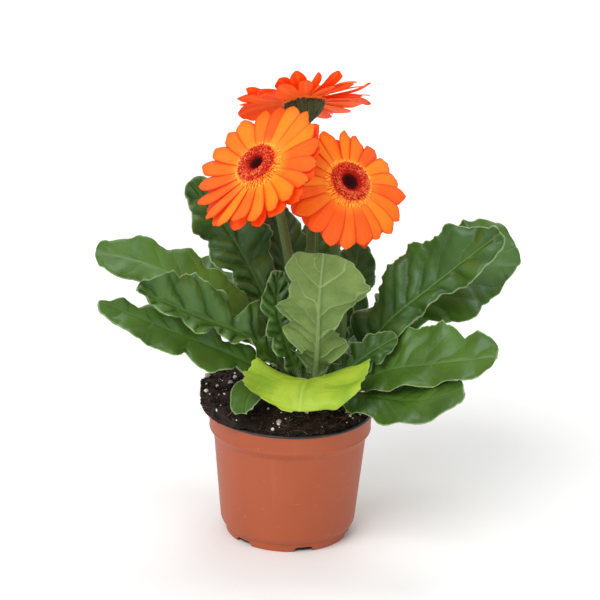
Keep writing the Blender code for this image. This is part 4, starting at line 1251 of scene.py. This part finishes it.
def blade_lift(blade, even, cut):
    """How far the blade stands over its midrib, with its waves, folds, frill and rolled edge."""
    leaf, dress, edge, taper = blade.leaf, blade.dress, blade.edge, blade.taper
    steep = np.where(blade.right, leaf.fold_right, leaf.fold_left)
    turn = 2 * math.pi * leaf.waves * 0.9 * (1.0 - blade.v) + leaf.phase * 2.0 + 1.1 * blade.side
    folds = blade.noise(blade.distance / 26.0, blade.side * 5.0, 0.5, 21)
    frill = blade.noise(blade.distance / 8.0, np.where(blade.right, 7.0, 0.0), edge * 0.8, 7)
    lift = steep * edge**dress.bowl * even + leaf.ruffle * edge**1.7 * np.sin(turn) * taper
    lift = lift + 0.60 * (cut - even) * edge**2
    lift = lift + dress.folds * edge * folds * taper
    lift = lift + dress.frill * 1.5 * edge**4 * frill * taper
    return lift - dress.roll * np.clip((edge - 0.74) / 0.26, 0.0, 1.0) ** 2 * taper


def vein_course(blade, beside, even):
    """A count of the side veins along each half, a whole number on each vein."""
    x = np.abs(beside) / np.maximum(even, 1.0)
    reached = blade.v + even / blade.length * (1.0 - np.minimum(x, 1.2))
    tips = [lobe_tips(blade.leaf, side) for side in (-1, 1)]
    left, right = (np.interp(reached, places, np.arange(len(places))) for places in tips)
    course = blade.veins_per_lobe * np.where(blade.right, right, left)
    return course + 0.30 * blade.noise(blade.distance / 11.0, beside / 11.0, 0.5, 13)


def leaf_surface(blade):
    """Rings of the leaf from its root to its tip, and the values stored at their points."""
    dress, radius, edge, opened = blade.dress, blade.radius, blade.edge, blade.opened
    even, cut, width = blade_widths(blade)
    beside = blade.u * width
    course = vein_course(blade, beside, even)

    # Quilting between the side veins, from the midrib's flank outward
    swell = np.abs(np.sin(math.pi * course)) ** 0.8 - 0.45
    window = smooth((np.abs(beside) - 0.5 * radius) / (3.0 * radius)) * smooth(blade.v / 0.15)
    pucker = 0.18 * blade.noise(blade.distance / 4.5, beside / 4.5, 0.5, 3, 2)
    swell = swell * (1.0 + 0.6 * blade.noise(blade.distance / 18.0, blade.side * 9.0, 2.5, 17))
    relief = dress.quilt * window * ((1.0 - 0.7 * edge**6) * swell + pucker)

    # The flat blade: a groove over the midrib, and the midrib and veins raised below
    thick = 0.7 - 0.35 * edge**4
    rib = 1.5 * radius * np.sqrt(np.clip(1.0 - (beside / (1.5 * radius)) ** 2, 0.0, 1.0))
    groove = 0.45 * radius * np.exp(-((beside / (1.1 * radius)) ** 2))
    off = np.abs((course + 0.5) % 1.0 - 0.5) * blade.vein_pitch
    cord = 0.40 * np.exp(-((off / 0.55) ** 2)) * window * (1.0 - edge**3)
    middle = blade_lift(blade, even, cut) + relief
    flat_top = middle + thick / 2 - groove
    flat_low = middle - thick / 2 - rib - cord

    # The stalk is round, with a shallow channel above, and opens into the blade
    turn = np.radians(90.0 - 78.0 * blade.u)
    round_beside = radius * np.cos(turn)
    round_low = -radius * np.sin(turn)
    round_top = radius * np.sin(turn) * (1.0 - 0.25 * np.exp(-((blade.u / 0.3) ** 2)))
    across = round_beside + (beside - round_beside) * opened
    frill = blade.noise(beside / 9.0, 0.0, 3.5, 31)
    ahead = dress.frill * 1.6 * frill * (blade.v * edge) ** 2 * smooth(np.abs(beside) / 8.0)
    rings = []
    for stalk, flat in ((round_top, flat_top), (round_low, flat_low)):
        height = stalk + (flat - stalk) * opened
        ring = blade.point[:, None] + blade.beside[:, None] * across[..., None]
        ring = ring + blade.up[:, None] * height[..., None]
        rings.append(ring + blade.along[:, None] * ahead[..., None])

    gap = np.minimum((1.0 - edge) * np.maximum(cut, radius), (1.0 - blade.v) * blade.length)
    stored = {
        "along": blade.distance,
        "across": across,
        "course": course,
        "edge_gap": gap + 9.0 * (1.0 - opened),
        "rib": radius,
        "stalk": 1.0 - opened,
        # The swell is also stored for the painted shade in the hollows and the painted highlight on
        # the swells
        "swell": window * (1.0 - 0.5 * edge**6) * swell * min(dress.quilt / 2.0, 1.4),
    }
    for key, table in stored.items():
        table = np.broadcast_to(table, across.shape)
        stored[key] = np.concatenate([table, table[:, ::-1]], 1)
    return np.concatenate([rings[0], rings[1][:, ::-1]], 1), stored


def build_leaf(leaf, look, materials):
    dress = DRESSES.get(leaf.name, PLAIN_DRESS)
    blade = Blade(leaf, dress)
    rings, stored = leaf_surface(blade)
    shells = Shells()
    shells.loft(rings, face_and_back(len(blade.u)), tone=dress.tone, veins=dress.veins,
                pitch=blade.vein_pitch, **stored)
    draw = draws_for("hair", leaf.name)
    add_edge_hairs(shells, blade, rings, draw, look.hair_length / MM)
    add_stalk_hairs(shells, blade, draw, look.hair_length / MM)
    piece = shells.to_object(leaf.name.replace("leaf_", "") + "_leaf", materials)
    settle(piece, "young_leaf" if "lime" in leaf.name else "leaf", leaf.name)


def add_edge_hairs(shells, blade, rings, draw, longest):
    """Hairs that lean outward all along both edges of the blade."""
    rows = np.flatnonzero(blade.v > 0.02)[:-2]
    for column, sign in ((0, -1.0), (len(blade.u) - 1, 1.0)):
        row = draw.choice(rows, int(2.2 * blade.length))
        share = draw.uniform(0.0, 1.0, (len(row), 1))
        here, ahead = rings[row, column], rings[row + 1, column]
        feet = here * (1.0 - share) + ahead * share
        out = np.cross(unit(ahead - here), blade.up[row])
        out = unit(out) * np.sign((out * blade.beside[row]).sum(-1))[:, None]
        lean = unit(out * sign + draw.normal(size=feet.shape) * 0.35)
        tips = feet + lean * longest * draw.uniform(0.35, 0.95, (len(row), 1))
        shells.spikes(feet - lean * 0.1, tips, EDGE_HAIR_RADIUS, 2)


def add_stalk_hairs(shells, blade, draw, longest):
    """Hairs all round the stalk and the foot of the midrib."""
    v = blade.v[:, 0]
    row = draw.choice(np.flatnonzero((v < 0.12) & (np.arange(len(v)) > 6)), 420)
    turn = draw.uniform(0.0, 2 * math.pi, (len(row), 1))
    out = blade.beside[row] * np.cos(turn) + blade.up[row] * np.sin(turn)
    slide = blade.along[row] * draw.uniform(-1.0, 1.0, (len(row), 1))
    feet = blade.point[row] + out * blade.radius[row] * 0.9 + slide
    lean = unit(out + draw.normal(size=feet.shape) * 0.3)
    tips = feet + lean * longest * draw.uniform(0.5, 1.1, (len(row), 1))
    shells.spikes(feet, tips, SKIN_HAIR_RADIUS, 2)


# Blooms

def bloom_matrix(bloom):
    """From the bloom's own frame, with its disc facing +Z, to the plant's frame, in mm."""
    axis = Vector(bloom.axis).normalized()
    turn = axis.to_track_quat("Z", "Y").to_matrix().to_4x4()
    return np.array(Matrix.Translation(Vector(bloom.centre)) @ turn)


def placed(matrix, points):
    """Points from the bloom's own frame in the plant's."""
    return points @ matrix[:3, :3].T + matrix[:3, 3]


def spun(reach, across, height, turn):
    """Points from their own radial frame in the bloom's, turned about its axis."""
    cos, sin = np.cos(turn), np.sin(turn)
    return points_from(reach * cos - across * sin, reach * sin + across * cos, height)


def bent(lift, length, step):
    """How far out and how far up a strand reaches while its lift changes along it."""
    return (np.cumsum(part * length * step, axis=1) for part in (np.cos(lift), np.sin(lift)))


def build_stem(bloom, look, materials):
    x, y = bloom.collar
    collar = np.array((x, y, soil_height(x, y) + 1.0))
    axis = unit(np.array(bloom.axis))
    end = np.array(bloom.centre, float) - axis * CUP_HEIGHT
    spine = Spine([collar - (0, 0, ROOT_DEPTH), collar, bloom.near, bloom.far, end], axis)
    rows = 84
    distances = np.linspace(0.0, spine.length, rows)
    point, along = spine.at(distances)
    side = unit(np.cross(along, [0.0, 1.0, 0.0]))
    other = np.cross(along, side)
    share = np.clip((distances - ROOT_DEPTH) / (spine.length - ROOT_DEPTH), 0.0, 1.0)[:, None]
    radius = SCAPE_RADIUS + (SCAPE_TOP_RADIUS - SCAPE_RADIUS) * share
    turns = circle(28)
    uneven = noise(points_from(distances[:, None] / 14.0, np.cos(turns) * 1.2, np.sin(turns) * 1.2), 3)
    ridged = radius * (1.0 + 0.018 * np.cos(7 * turns + 1.0) + 0.03 * uneven)
    out = side[:, None] * np.cos(turns)[:, None] + other[:, None] * np.sin(turns)[:, None]
    shells = Shells()
    shells.loft(point[:, None] + out * ridged[..., None], along=distances[:, None],
                turn=np.abs(turns - math.pi))

    draw = draws_for("stem hair", bloom.name)
    row = draw.integers(6, rows - 2, 1500)
    turn = draw.uniform(0.0, 2 * math.pi, (len(row), 1))
    out = side[row] * np.cos(turn) + other[row] * np.sin(turn)
    slide = along[row] * draw.uniform(-1.5, 1.5, (len(row), 1))
    feet = point[row] + out * (radius[row] - 0.1) + slide
    length = look.hair_length / MM * draw.uniform(0.4, 1.15, (len(row), 1))
    tips = feet + unit(out + draw.normal(size=out.shape) * 0.3) * length
    shells.spikes(feet, tips, SKIN_HAIR_RADIUS, 2)
    add_cup(shells, bloom_matrix(bloom), draw, look.hair_length / MM)
    piece = shells.to_object("stem_" + bloom.name, materials)
    settle(piece, "stem", "scape_" + bloom.name)


def cup_radius(height):
    """Radius of the green cup at a height in the bloom's own frame."""
    return np.interp(height, CUP_HEIGHTS, CUP_RADII)


def add_cup(shells, matrix, draw, longest_hair):
    """The cup of overlapping pointed bracts under the bloom."""
    height = np.linspace(-CUP_HEIGHT - 1.0, CUP_TOP, 14)[:, None]
    core = spun(cup_radius(height) - 0.5, 0.0, height, circle(36))
    shells.loft(placed(matrix, core), 1, reach=0.2, across=0.5)
    for tier, (foot, long, broad, count) in enumerate(BRACT_TIERS):
        for k in range(count):
            turn = 2 * math.pi * (k + 0.37 * tier + 0.25 * draw.uniform(-1, 1)) / count
            add_bract(shells, matrix, draw, turn, foot, long, broad, 0.15 + 0.1 * tier)
    count = 420
    height = draw.uniform(-CUP_HEIGHT, CUP_TOP - 0.5, count)
    turn = draw.uniform(0.0, 2 * math.pi, count)
    feet = spun(cup_radius(height) + 0.2, 0.0, height, turn)
    out = spun(1.0, 0.0, 0.4, turn)
    length = longest_hair * draw.uniform(0.4, 1.1, (count, 1))
    tips = feet + unit(out + draw.normal(size=out.shape) * 0.35) * length
    shells.spikes(placed(matrix, feet), placed(matrix, tips), SKIN_HAIR_RADIUS, 2)


def add_bract(shells, matrix, draw, turn, foot, long, broad, stand_off):
    """One pointed bract that lies along the cup, with its tip a little away from it."""
    s = np.linspace(0.0, 1.0, 10)[:, None]
    height = foot + long * draw.uniform(0.85, 1.1) * s * (0.86 - 0.16 * s)
    height = np.minimum(height, -0.9)
    reach = cup_radius(height) + stand_off + draw.uniform(0.2, 1.0) * s**3
    half = broad * draw.uniform(0.85, 1.1) * np.sqrt(np.clip(1.0 - s**1.6, 0.0, 1.0))
    half = half * (0.75 + 0.6 * s) + 0.08
    thick = 0.42 * (1.0 - 0.7 * s)
    across, out = np.array(BRACT_SECTION).T
    rings = spun(reach + thick * out, half * across, height, turn)
    shells.loft(placed(matrix, rings), 1, reach=s, across=across)


def petal_shells(bloom, layer):
    """All petals of one layer in the plant's frame, with their slots and stored values."""
    count = bloom.back if layer else bloom.front
    matrix = bloom_matrix(bloom)
    keys = [(bloom.name, layer, k) for k in range(count)]

    def draws(word):
        return np.array([chance(word, *key) for key in keys])[:, None, None] - 0.5

    # The midline of each petal, as distances out from the bloom's axis and up from its plane
    ragged = bloom.sway / 9.0
    index = np.arange(count)[:, None, None]
    turn = 2 * math.pi * (index + 0.5 * layer + draws("turn") * 0.1) / count
    hang = np.maximum(0.0, -(matrix[2, 0] * np.cos(turn) + matrix[2, 1] * np.sin(turn)))
    length = bloom.petal_length * (1.0 + 0.13 * draws("length"))
    length = length + bloom.droop_stretch * hang - 1.5 * layer
    s = (1.0 - (1.0 - np.linspace(0.0, 1.0, 28)) ** 1.45)[None, :, None]
    start_lift = math.radians(4.0 - 4.0 * layer)
    end_lift = np.radians(bloom.sway * draws("sway") * 2.0 - bloom.reflex_deg - 6.0 * layer)
    lift = start_lift + (end_lift - start_lift) * s
    lift = lift + np.radians(24.0 + 30.0 * ragged) * draws("tip") * smooth((s - 0.5) / 0.5)
    run, climb = bent(lift, length, np.diff(s, axis=1, prepend=0.0))
    reach = PETAL_ROOT + run
    height = 0.1 - 1.7 * layer + climb

    # Its half width, which closes to a blunt end
    half = np.interp(s, PETAL_SHARES, PETAL_WIDTHS) * 21.0 / (count + 1.0)
    half = half * (1.02 - 0.17 * ragged + (0.22 + 0.3 * ragged) * draws("broad"))
    blunt = 0.89 - 0.24 * (draws("blunt") + 0.5) * (0.15 + 0.85 * ragged)
    closing = (0.84 + 0.12 * ragged) * np.clip((s - blunt) / (1.0 - blunt), 0.0, 1.0) ** 2.1
    half = half * np.sqrt(1.0 - closing) + 0.12

    # Its section: cupped, with two grooves, twisted, and cut to teeth at the end
    columns = 13
    u = np.sin(np.linspace(-1.0, 1.0, columns) * math.pi / 2)[None, None]
    twist = np.radians(10.0 + 28.0 * ragged) * draws("twist") * s**2
    roll = np.radians(PETAL_ROLL_DEG) + twist
    cup = (2.6 * draws("cup") - 0.9) * smooth(s * 3.0) * (1.0 - 0.4 * s)
    grooves = (0.5 + 0.5 * np.cos(2 * math.pi * 1.32 * u)) * smooth(s * 5.0) * (1.0 - u**4)
    rise = cup * 0.2 * half * (u**2 - 0.35) - 0.3 * grooves + 0.1
    tooth = (0.8 + 0.9 * draws("tooth")) * (0.5 - 0.5 * np.cos(3 * math.pi * u + 2.5 * draws("teeth")))
    tooth = (tooth + 2.4 * draws("skew") * u) * smooth((s - 0.84) / 0.16)
    bend = 3.2 * draws("bend") * s**2
    thick = 0.28 - 0.14 * u**2
    faces = []
    for lifted in (rise + thick, rise - thick):
        out = reach - np.sin(lift) * lifted - tooth
        beside = np.cos(roll) * half * u - np.sin(roll) * lifted + bend
        up = height + np.sin(roll) * half * u + np.cos(lift) * lifted
        faces.append(spun(out, beside, up, turn))
    rings = np.concatenate([faces[0], faces[1][:, :, ::-1]], 2)
    across = np.concatenate([u, u[..., ::-1]], 2)
    values = {"reach": s, "across": across, "shade": draws("shade") + 0.5, "layer": float(layer)}
    return placed(matrix, rings), face_and_back(columns), values


def build_rays(bloom, materials):
    """Petals in two layers, the hub that they grow from, and the short fringe round the disc."""
    shells = Shells()
    matrix = bloom_matrix(bloom)
    for layer in (0, 1):
        rings, slots, values = petal_shells(bloom, layer)
        shells.loft(rings, slots, **values)
    hub = np.array((
        (HUB_RADIUS - 1.5, -3.0), (HUB_RADIUS - 0.2, -2.2), (HUB_RADIUS + 0.2, -0.5),
        (HUB_RADIUS, 1.0), (DISC_RADIUS + 0.4, 1.6), (DISC_RADIUS + 0.3, HUB_TOP),
    ))
    rings = spun(hub[:, :1], 0.0, hub[:, 1:], circle(48))
    shells.loft(placed(matrix, rings), 1, across=0.5)
    draw = draws_for("fringe", bloom.name)
    for tier, tongues in enumerate(FRINGE):
        add_tongues(shells, matrix, draw, tier, *tongues)
    piece = shells.to_object("petals_" + bloom.name, materials)
    settle(piece, "petal", "rays_" + bloom.name)


def add_tongues(shells, matrix, draw, tier, count, foot, base, long, lift_deg):
    """One ring of short curled florets that lean out over the petals."""
    size = (count, 1, 1)
    turn = 2 * math.pi * (np.arange(count)[:, None, None] + draw.uniform(-0.3, 0.3, size)) / count
    s = np.linspace(0.0, 1.0, 7)[:, None]
    length = long * draw.uniform(0.7, 1.2, size)
    lift = np.radians(lift_deg + draw.uniform(-12.0, 12.0, size) - 50.0 * s**1.5)
    step = 1.0 / 6.0
    run, climb = bent(lift, length, step)
    half = 0.42 * np.sqrt(np.clip(1.0 - s**3, 0.0, 1.0)) * draw.uniform(0.75, 1.1, size) + 0.05
    across, raised = np.array([-1.0, 0.0, 1.0, 0.0]), np.array([0.25, 0.0, 0.25, -0.9])
    curl = draw.uniform(-0.7, 0.7, size) * s**2
    height = base + climb + 0.35 * raised * (1.0 - 0.5 * s)
    rings = spun(foot + run - length * step, half * across + curl, height, turn)
    warmth = 1.0 - 0.05 * tier - draw.uniform(0.0, 0.08, size)
    shells.loft(placed(matrix, rings), 2, reach=s, warmth=warmth)


def disc_height(reach):
    """Height of the disc's dome over the bloom's plane, by distance from its middle, in mm."""
    shape = np.interp(np.abs(reach) / DISC_RADIUS, DOME_SHARES, DOME_HEIGHTS)
    return HUB_TOP + 0.3 + DISC_HEIGHT * shape


def build_disc(bloom, materials):
    """The dome of packed florets, with styles that stand out of the open ones."""
    shells = Shells()
    matrix = bloom_matrix(bloom)
    draw = draws_for("disc", bloom.name)
    add_dome(shells, matrix)
    add_florets(shells, matrix, draw, PIT_RADII[bloom.name])
    add_styles(shells, matrix, draw)
    piece = shells.to_object("disc_florets_" + bloom.name, materials)
    settle(piece, "disc", "disc_" + bloom.name)


def add_dome(shells, matrix):
    """The closed skin under the florets."""
    shares = np.array((0.86, 0.97, 0.95, 0.93, 0.85, 0.76, 0.65, 0.55, 0.45, 0.35, 0.24, 0.14, 0.05))
    reach = shares[:, None] * DISC_RADIUS
    height = disc_height(reach) - 0.7
    height[0], height[1] = HUB_TOP + 0.3, HUB_TOP + 0.8
    warmth = 0.02 + 0.30 * smooth((reach - 5.0) / 3.0) + 0.35 * smooth((reach - 12.6) / 1.6)
    shells.loft(placed(matrix, spun(reach, 0.0, height, circle(40))), warmth=warmth)


def add_florets(shells, matrix, draw, pit):
    """Florets in a spiral: closed dark buds within the pit, open red ones round it."""
    size = (FLORET_COUNT, 1, 1)
    index = np.arange(FLORET_COUNT)[:, None, None]
    reach = FLORET_REACH * np.sqrt((index + 0.5) / FLORET_COUNT)
    turn = index * GOLDEN_ANGLE + draw.uniform(-0.04, 0.04, size)
    outer = smooth((reach - pit + 1.2) / 4.5)
    tall = 0.7 + outer * draw.uniform(0.7, 2.0, size)
    broad = 0.38 + 0.12 * outer * draw.uniform(0.6, 1.3, size)
    warmth = 0.02 + 0.24 * smooth((reach - 1.0) / (pit + 2.0)) + outer * draw.uniform(0.06, 0.36, size)
    warmth = warmth + 0.30 * smooth((reach - 13.3) / 1.6)
    closed, opened = (np.array(t).T[:, None, :, None] for t in (CLOSED_FLORET, OPEN_FLORET))
    rise, wide = closed + (opened - closed) * outer
    lean = 0.16 * (reach - 8.5) / 5.0
    sides = circle(5)
    out = reach + lean * rise * tall * 2.0 + broad * wide * np.cos(sides)
    height = disc_height(reach) - 0.7 + rise * tall
    rings = spun(out, broad * wide * np.sin(sides), height, turn)
    shells.loft(placed(matrix, rings), reach=np.array(FLORET_LEVELS)[:, None], warmth=warmth)


def add_styles(shells, matrix, draw):
    """Thin pale curls that stand out of the open florets, longest where the disc hangs."""
    size = (STYLE_COUNT, 1, 1)
    reach = draw.uniform(8.5, 15.0, size)
    turn = draw.uniform(0.0, 2 * math.pi, size)
    hang = -(matrix[2, 0] * np.cos(turn) + matrix[2, 1] * np.sin(turn))
    s = np.linspace(0.0, 1.0, 7)[:, None]
    length = draw.uniform(1.4, 2.8, size) * (0.72 + 0.45 * hang)
    heading = draw.uniform(-1.2, 1.2, size)
    lift = np.radians(88.0 - 150.0 * s**1.6 * draw.uniform(0.5, 1.3, size))
    run, climb = bent(lift, length, 1.0 / 6.0)
    ring = circle(4)
    thin = 0.23 - 0.10 * s
    out = reach + run * np.cos(heading) + thin * np.cos(ring)
    beside = run * np.sin(heading) + thin * np.sin(ring)
    height = disc_height(np.minimum(reach, 14.0)) + 0.4 + climb
    shells.loft(placed(matrix, spun(out, beside, height, turn)), 1, reach=s)


# Stage

def build_stage(look):
    mesh = bpy.data.meshes.new("floor")
    corners = [(FLOOR_RADIUS_M * math.cos(t), FLOOR_RADIUS_M * math.sin(t), 0.0) for t in circle(96)]
    mesh.from_pydata(corners, [], [tuple(range(len(corners)))])
    floor = dress_object("floor", mesh, [floor_material(look)])
    world = bpy.data.worlds.new("studio")
    world.use_nodes = True
    background = world.node_tree.nodes["Background"]
    background.inputs["Color"].default_value = (1.0, 1.0, 1.0, 1.0)
    background.inputs["Strength"].default_value = look.ambient
    bpy.context.scene.world = world
    for name, (place, spread_deg, setting) in LIGHTS.items():
        add_light(name, place, spread_deg, getattr(look, setting))
    add_camera()
    bpy.context.scene.view_settings.view_transform = "Standard"


def add_camera():
    data = bpy.data.cameras.new("photo_camera")
    data.sensor_width = CAMERA_SENSOR_MM
    data.lens = CAMERA_LENS_MM
    camera = bpy.data.objects.new("photo_camera", data)
    camera.matrix_world = (
        Matrix.Translation(CAMERA_PLACE)
        @ Matrix.Rotation(math.radians(90.0 - CAMERA_DOWN_DEG), 4, "X")
        @ Matrix.Rotation(math.radians(CAMERA_ROLL_DEG), 4, "Z")
    )
    bpy.context.scene.collection.objects.link(camera)
    bpy.context.scene.camera = camera


def add_light(name, place, spread_deg, strength):
    """A soft light from a far place, aimed at the plant."""
    data = bpy.data.lights.new(name, "SUN")
    data.angle = math.radians(spread_deg)
    data.energy = strength
    light = bpy.data.objects.new(name, data)
    light.location = place
    aim = Vector(LIGHT_AIM) - Vector(place)
    light.rotation_euler = aim.to_track_quat("-Z", "Y").to_euler()
    bpy.context.scene.collection.objects.link(light)


# Settings

def colour_setting(name, description, default):
    return bpy.props.FloatVectorProperty(
        name=name, description=description, default=default, subtype="COLOR", size=3, min=0.0, max=1.0
    )


def strength_setting(name, description, default):
    return bpy.props.FloatProperty(name=name, description=description, default=default, min=0.0)


class GerberaPotSettings(bpy.types.PropertyGroup):
    """Looks of the pot and the soil"""

    plastic: colour_setting("Plastic", "Colour of the pot's outer wall", (0.395, 0.088, 0.034))
    peat: colour_setting("Peat", "Lightest colour of the soil", (0.030, 0.014, 0.008))


class GerberaLeafSettings(bpy.types.PropertyGroup):
    """Looks of the leaves and stems"""

    dark_green: colour_setting(
        "Dark green", "Darkest colour of a leaf's upper face", (0.020, 0.062, 0.005))
    light_green: colour_setting(
        "Light green", "Lightest colour of a leaf's upper face", (0.080, 0.175, 0.013))
    underside: colour_setting(
        "Underside", "Colour of the leaves' woolly undersides", (0.165, 0.245, 0.062))
    lime: colour_setting("Lime", "Colour of the young leaf in front", (0.36, 0.50, 0.035))
    margin: colour_setting("Margin", "Colour of the leaves' pale edges", (0.27, 0.38, 0.15))
    stem_green: colour_setting("Stem", "Colour of the flower stems", (0.14, 0.225, 0.062))
    hair_length: bpy.props.FloatProperty(
        name="Hair length", description="Longest hairs on stems and leaf edges",
        default=0.0009, min=0.0, unit="LENGTH", subtype="DISTANCE",
    )


class GerberaBloomSettings(bpy.types.PropertyGroup):
    """Looks of the blooms"""

    petal: colour_setting("Petal", "Colour of the petals", (0.97, 0.235, 0.006))
    petal_base: colour_setting("Petal base", "Colour of the petals near the disc", (1.0, 0.40, 0.034))
    disc_red: colour_setting("Disc", "Colour of the open florets", (0.56, 0.020, 0.010))


class GerberaStageSettings(bpy.types.PropertyGroup):
    """Floor and lights"""

    floor: colour_setting("Floor", "Colour of the floor", (0.94, 0.94, 0.94))
    ambient: strength_setting("Ambient", "Strength of the white surroundings", 0.56)
    key_strength: strength_setting("Key light", "Strength of the light in front on the left", 1.95)
    fill_strength: strength_setting("Fill light", "Strength of the light on the right", 0.25)
    top_strength: strength_setting("Top light", "Strength of the light above", 0.9)


# Operators and panel

class GERBERA_OT_pot(bpy.types.Operator):
    """Build the nursery pot with its drain notches"""

    bl_idname = "gerbera.pot"
    bl_label = "Pot"

    def execute(self, context):
        build_pot(context.scene.gerbera_pot)
        return {"FINISHED"}


class GERBERA_OT_soil(bpy.types.Operator):
    """Build the peat with its perlite, bark and roots"""

    bl_idname = "gerbera.soil"
    bl_label = "Soil"

    def execute(self, context):
        build_soil(context.scene.gerbera_pot)
        return {"FINISHED"}


class GERBERA_OT_leaves(bpy.types.Operator):
    """Build all leaves with their veins, pale edges and hairs"""

    bl_idname = "gerbera.leaves"
    bl_label = "Leaves"

    def execute(self, context):
        look = context.scene.gerbera_leaves
        hair = hair_material()
        under = leaf_under_material(look)
        grown = [leaf_top_material(look), under, hair]
        young = lime_material(look)
        for leaf in LEAVES:
            build_leaf(leaf, look, [young, young, hair] if "lime" in leaf.name else grown)
        return {"FINISHED"}


class GERBERA_OT_stems(bpy.types.Operator):
    """Build the hairy flower stems and the green cups under the blooms"""

    bl_idname = "gerbera.stems"
    bl_label = "Stems"

    def execute(self, context):
        look = context.scene.gerbera_leaves
        materials = [stem_material(look), bract_material(), hair_material()]
        for bloom in BLOOMS:
            build_stem(bloom, look, materials)
        return {"FINISHED"}


class GERBERA_OT_blooms(bpy.types.Operator):
    """Build the petals, the fringe and the discs of the three blooms"""

    bl_idname = "gerbera.blooms"
    bl_label = "Blooms"

    def execute(self, context):
        look = context.scene.gerbera_blooms
        floret = floret_material(look)
        petals = [petal_material(look), petal_back_material(), floret]
        disc = [floret, style_material()]
        for bloom in BLOOMS:
            build_rays(bloom, petals)
            build_disc(bloom, disc)
        return {"FINISHED"}


class GERBERA_OT_stage(bpy.types.Operator):
    """Build the floor, the lights and the camera"""

    bl_idname = "gerbera.stage"
    bl_label = "Stage"

    def execute(self, context):
        build_stage(context.scene.gerbera_stage)
        return {"FINISHED"}


OPERATORS = (GERBERA_OT_pot, GERBERA_OT_soil, GERBERA_OT_leaves, GERBERA_OT_stems, GERBERA_OT_blooms,
             GERBERA_OT_stage)
SETTINGS = {
    "gerbera_pot": GerberaPotSettings,
    "gerbera_leaves": GerberaLeafSettings,
    "gerbera_blooms": GerberaBloomSettings,
    "gerbera_stage": GerberaStageSettings,
}


class GERBERA_PT_panel(bpy.types.Panel):
    """Lists the pieces and their settings"""

    bl_idname = "GERBERA_PT_panel"
    bl_label = "Potted gerbera"
    bl_space_type = "VIEW_3D"
    bl_region_type = "UI"
    bl_category = "Gerbera"

    def draw(self, context):
        for name, group in SETTINGS.items():
            box = self.layout.box()
            for prop in group.__annotations__:
                box.prop(getattr(context.scene, name), prop)
        for operator in OPERATORS:
            self.layout.operator(operator.bl_idname)


CLASSES = (*SETTINGS.values(), *OPERATORS, GERBERA_PT_panel)


def register():
    for item in CLASSES:
        bpy.utils.register_class(item)
    for name, group in SETTINGS.items():
        setattr(bpy.types.Scene, name, bpy.props.PointerProperty(type=group))


def unregister():
    for name in SETTINGS:
        delattr(bpy.types.Scene, name)
    for item in reversed(CLASSES):
        bpy.utils.unregister_class(item)


def main():
    register()
    for operator in ("pot", "soil", "leaves", "stems", "blooms", "stage"):
        getattr(bpy.ops.gerbera, operator)()


if __name__ == "__main__":
    main()
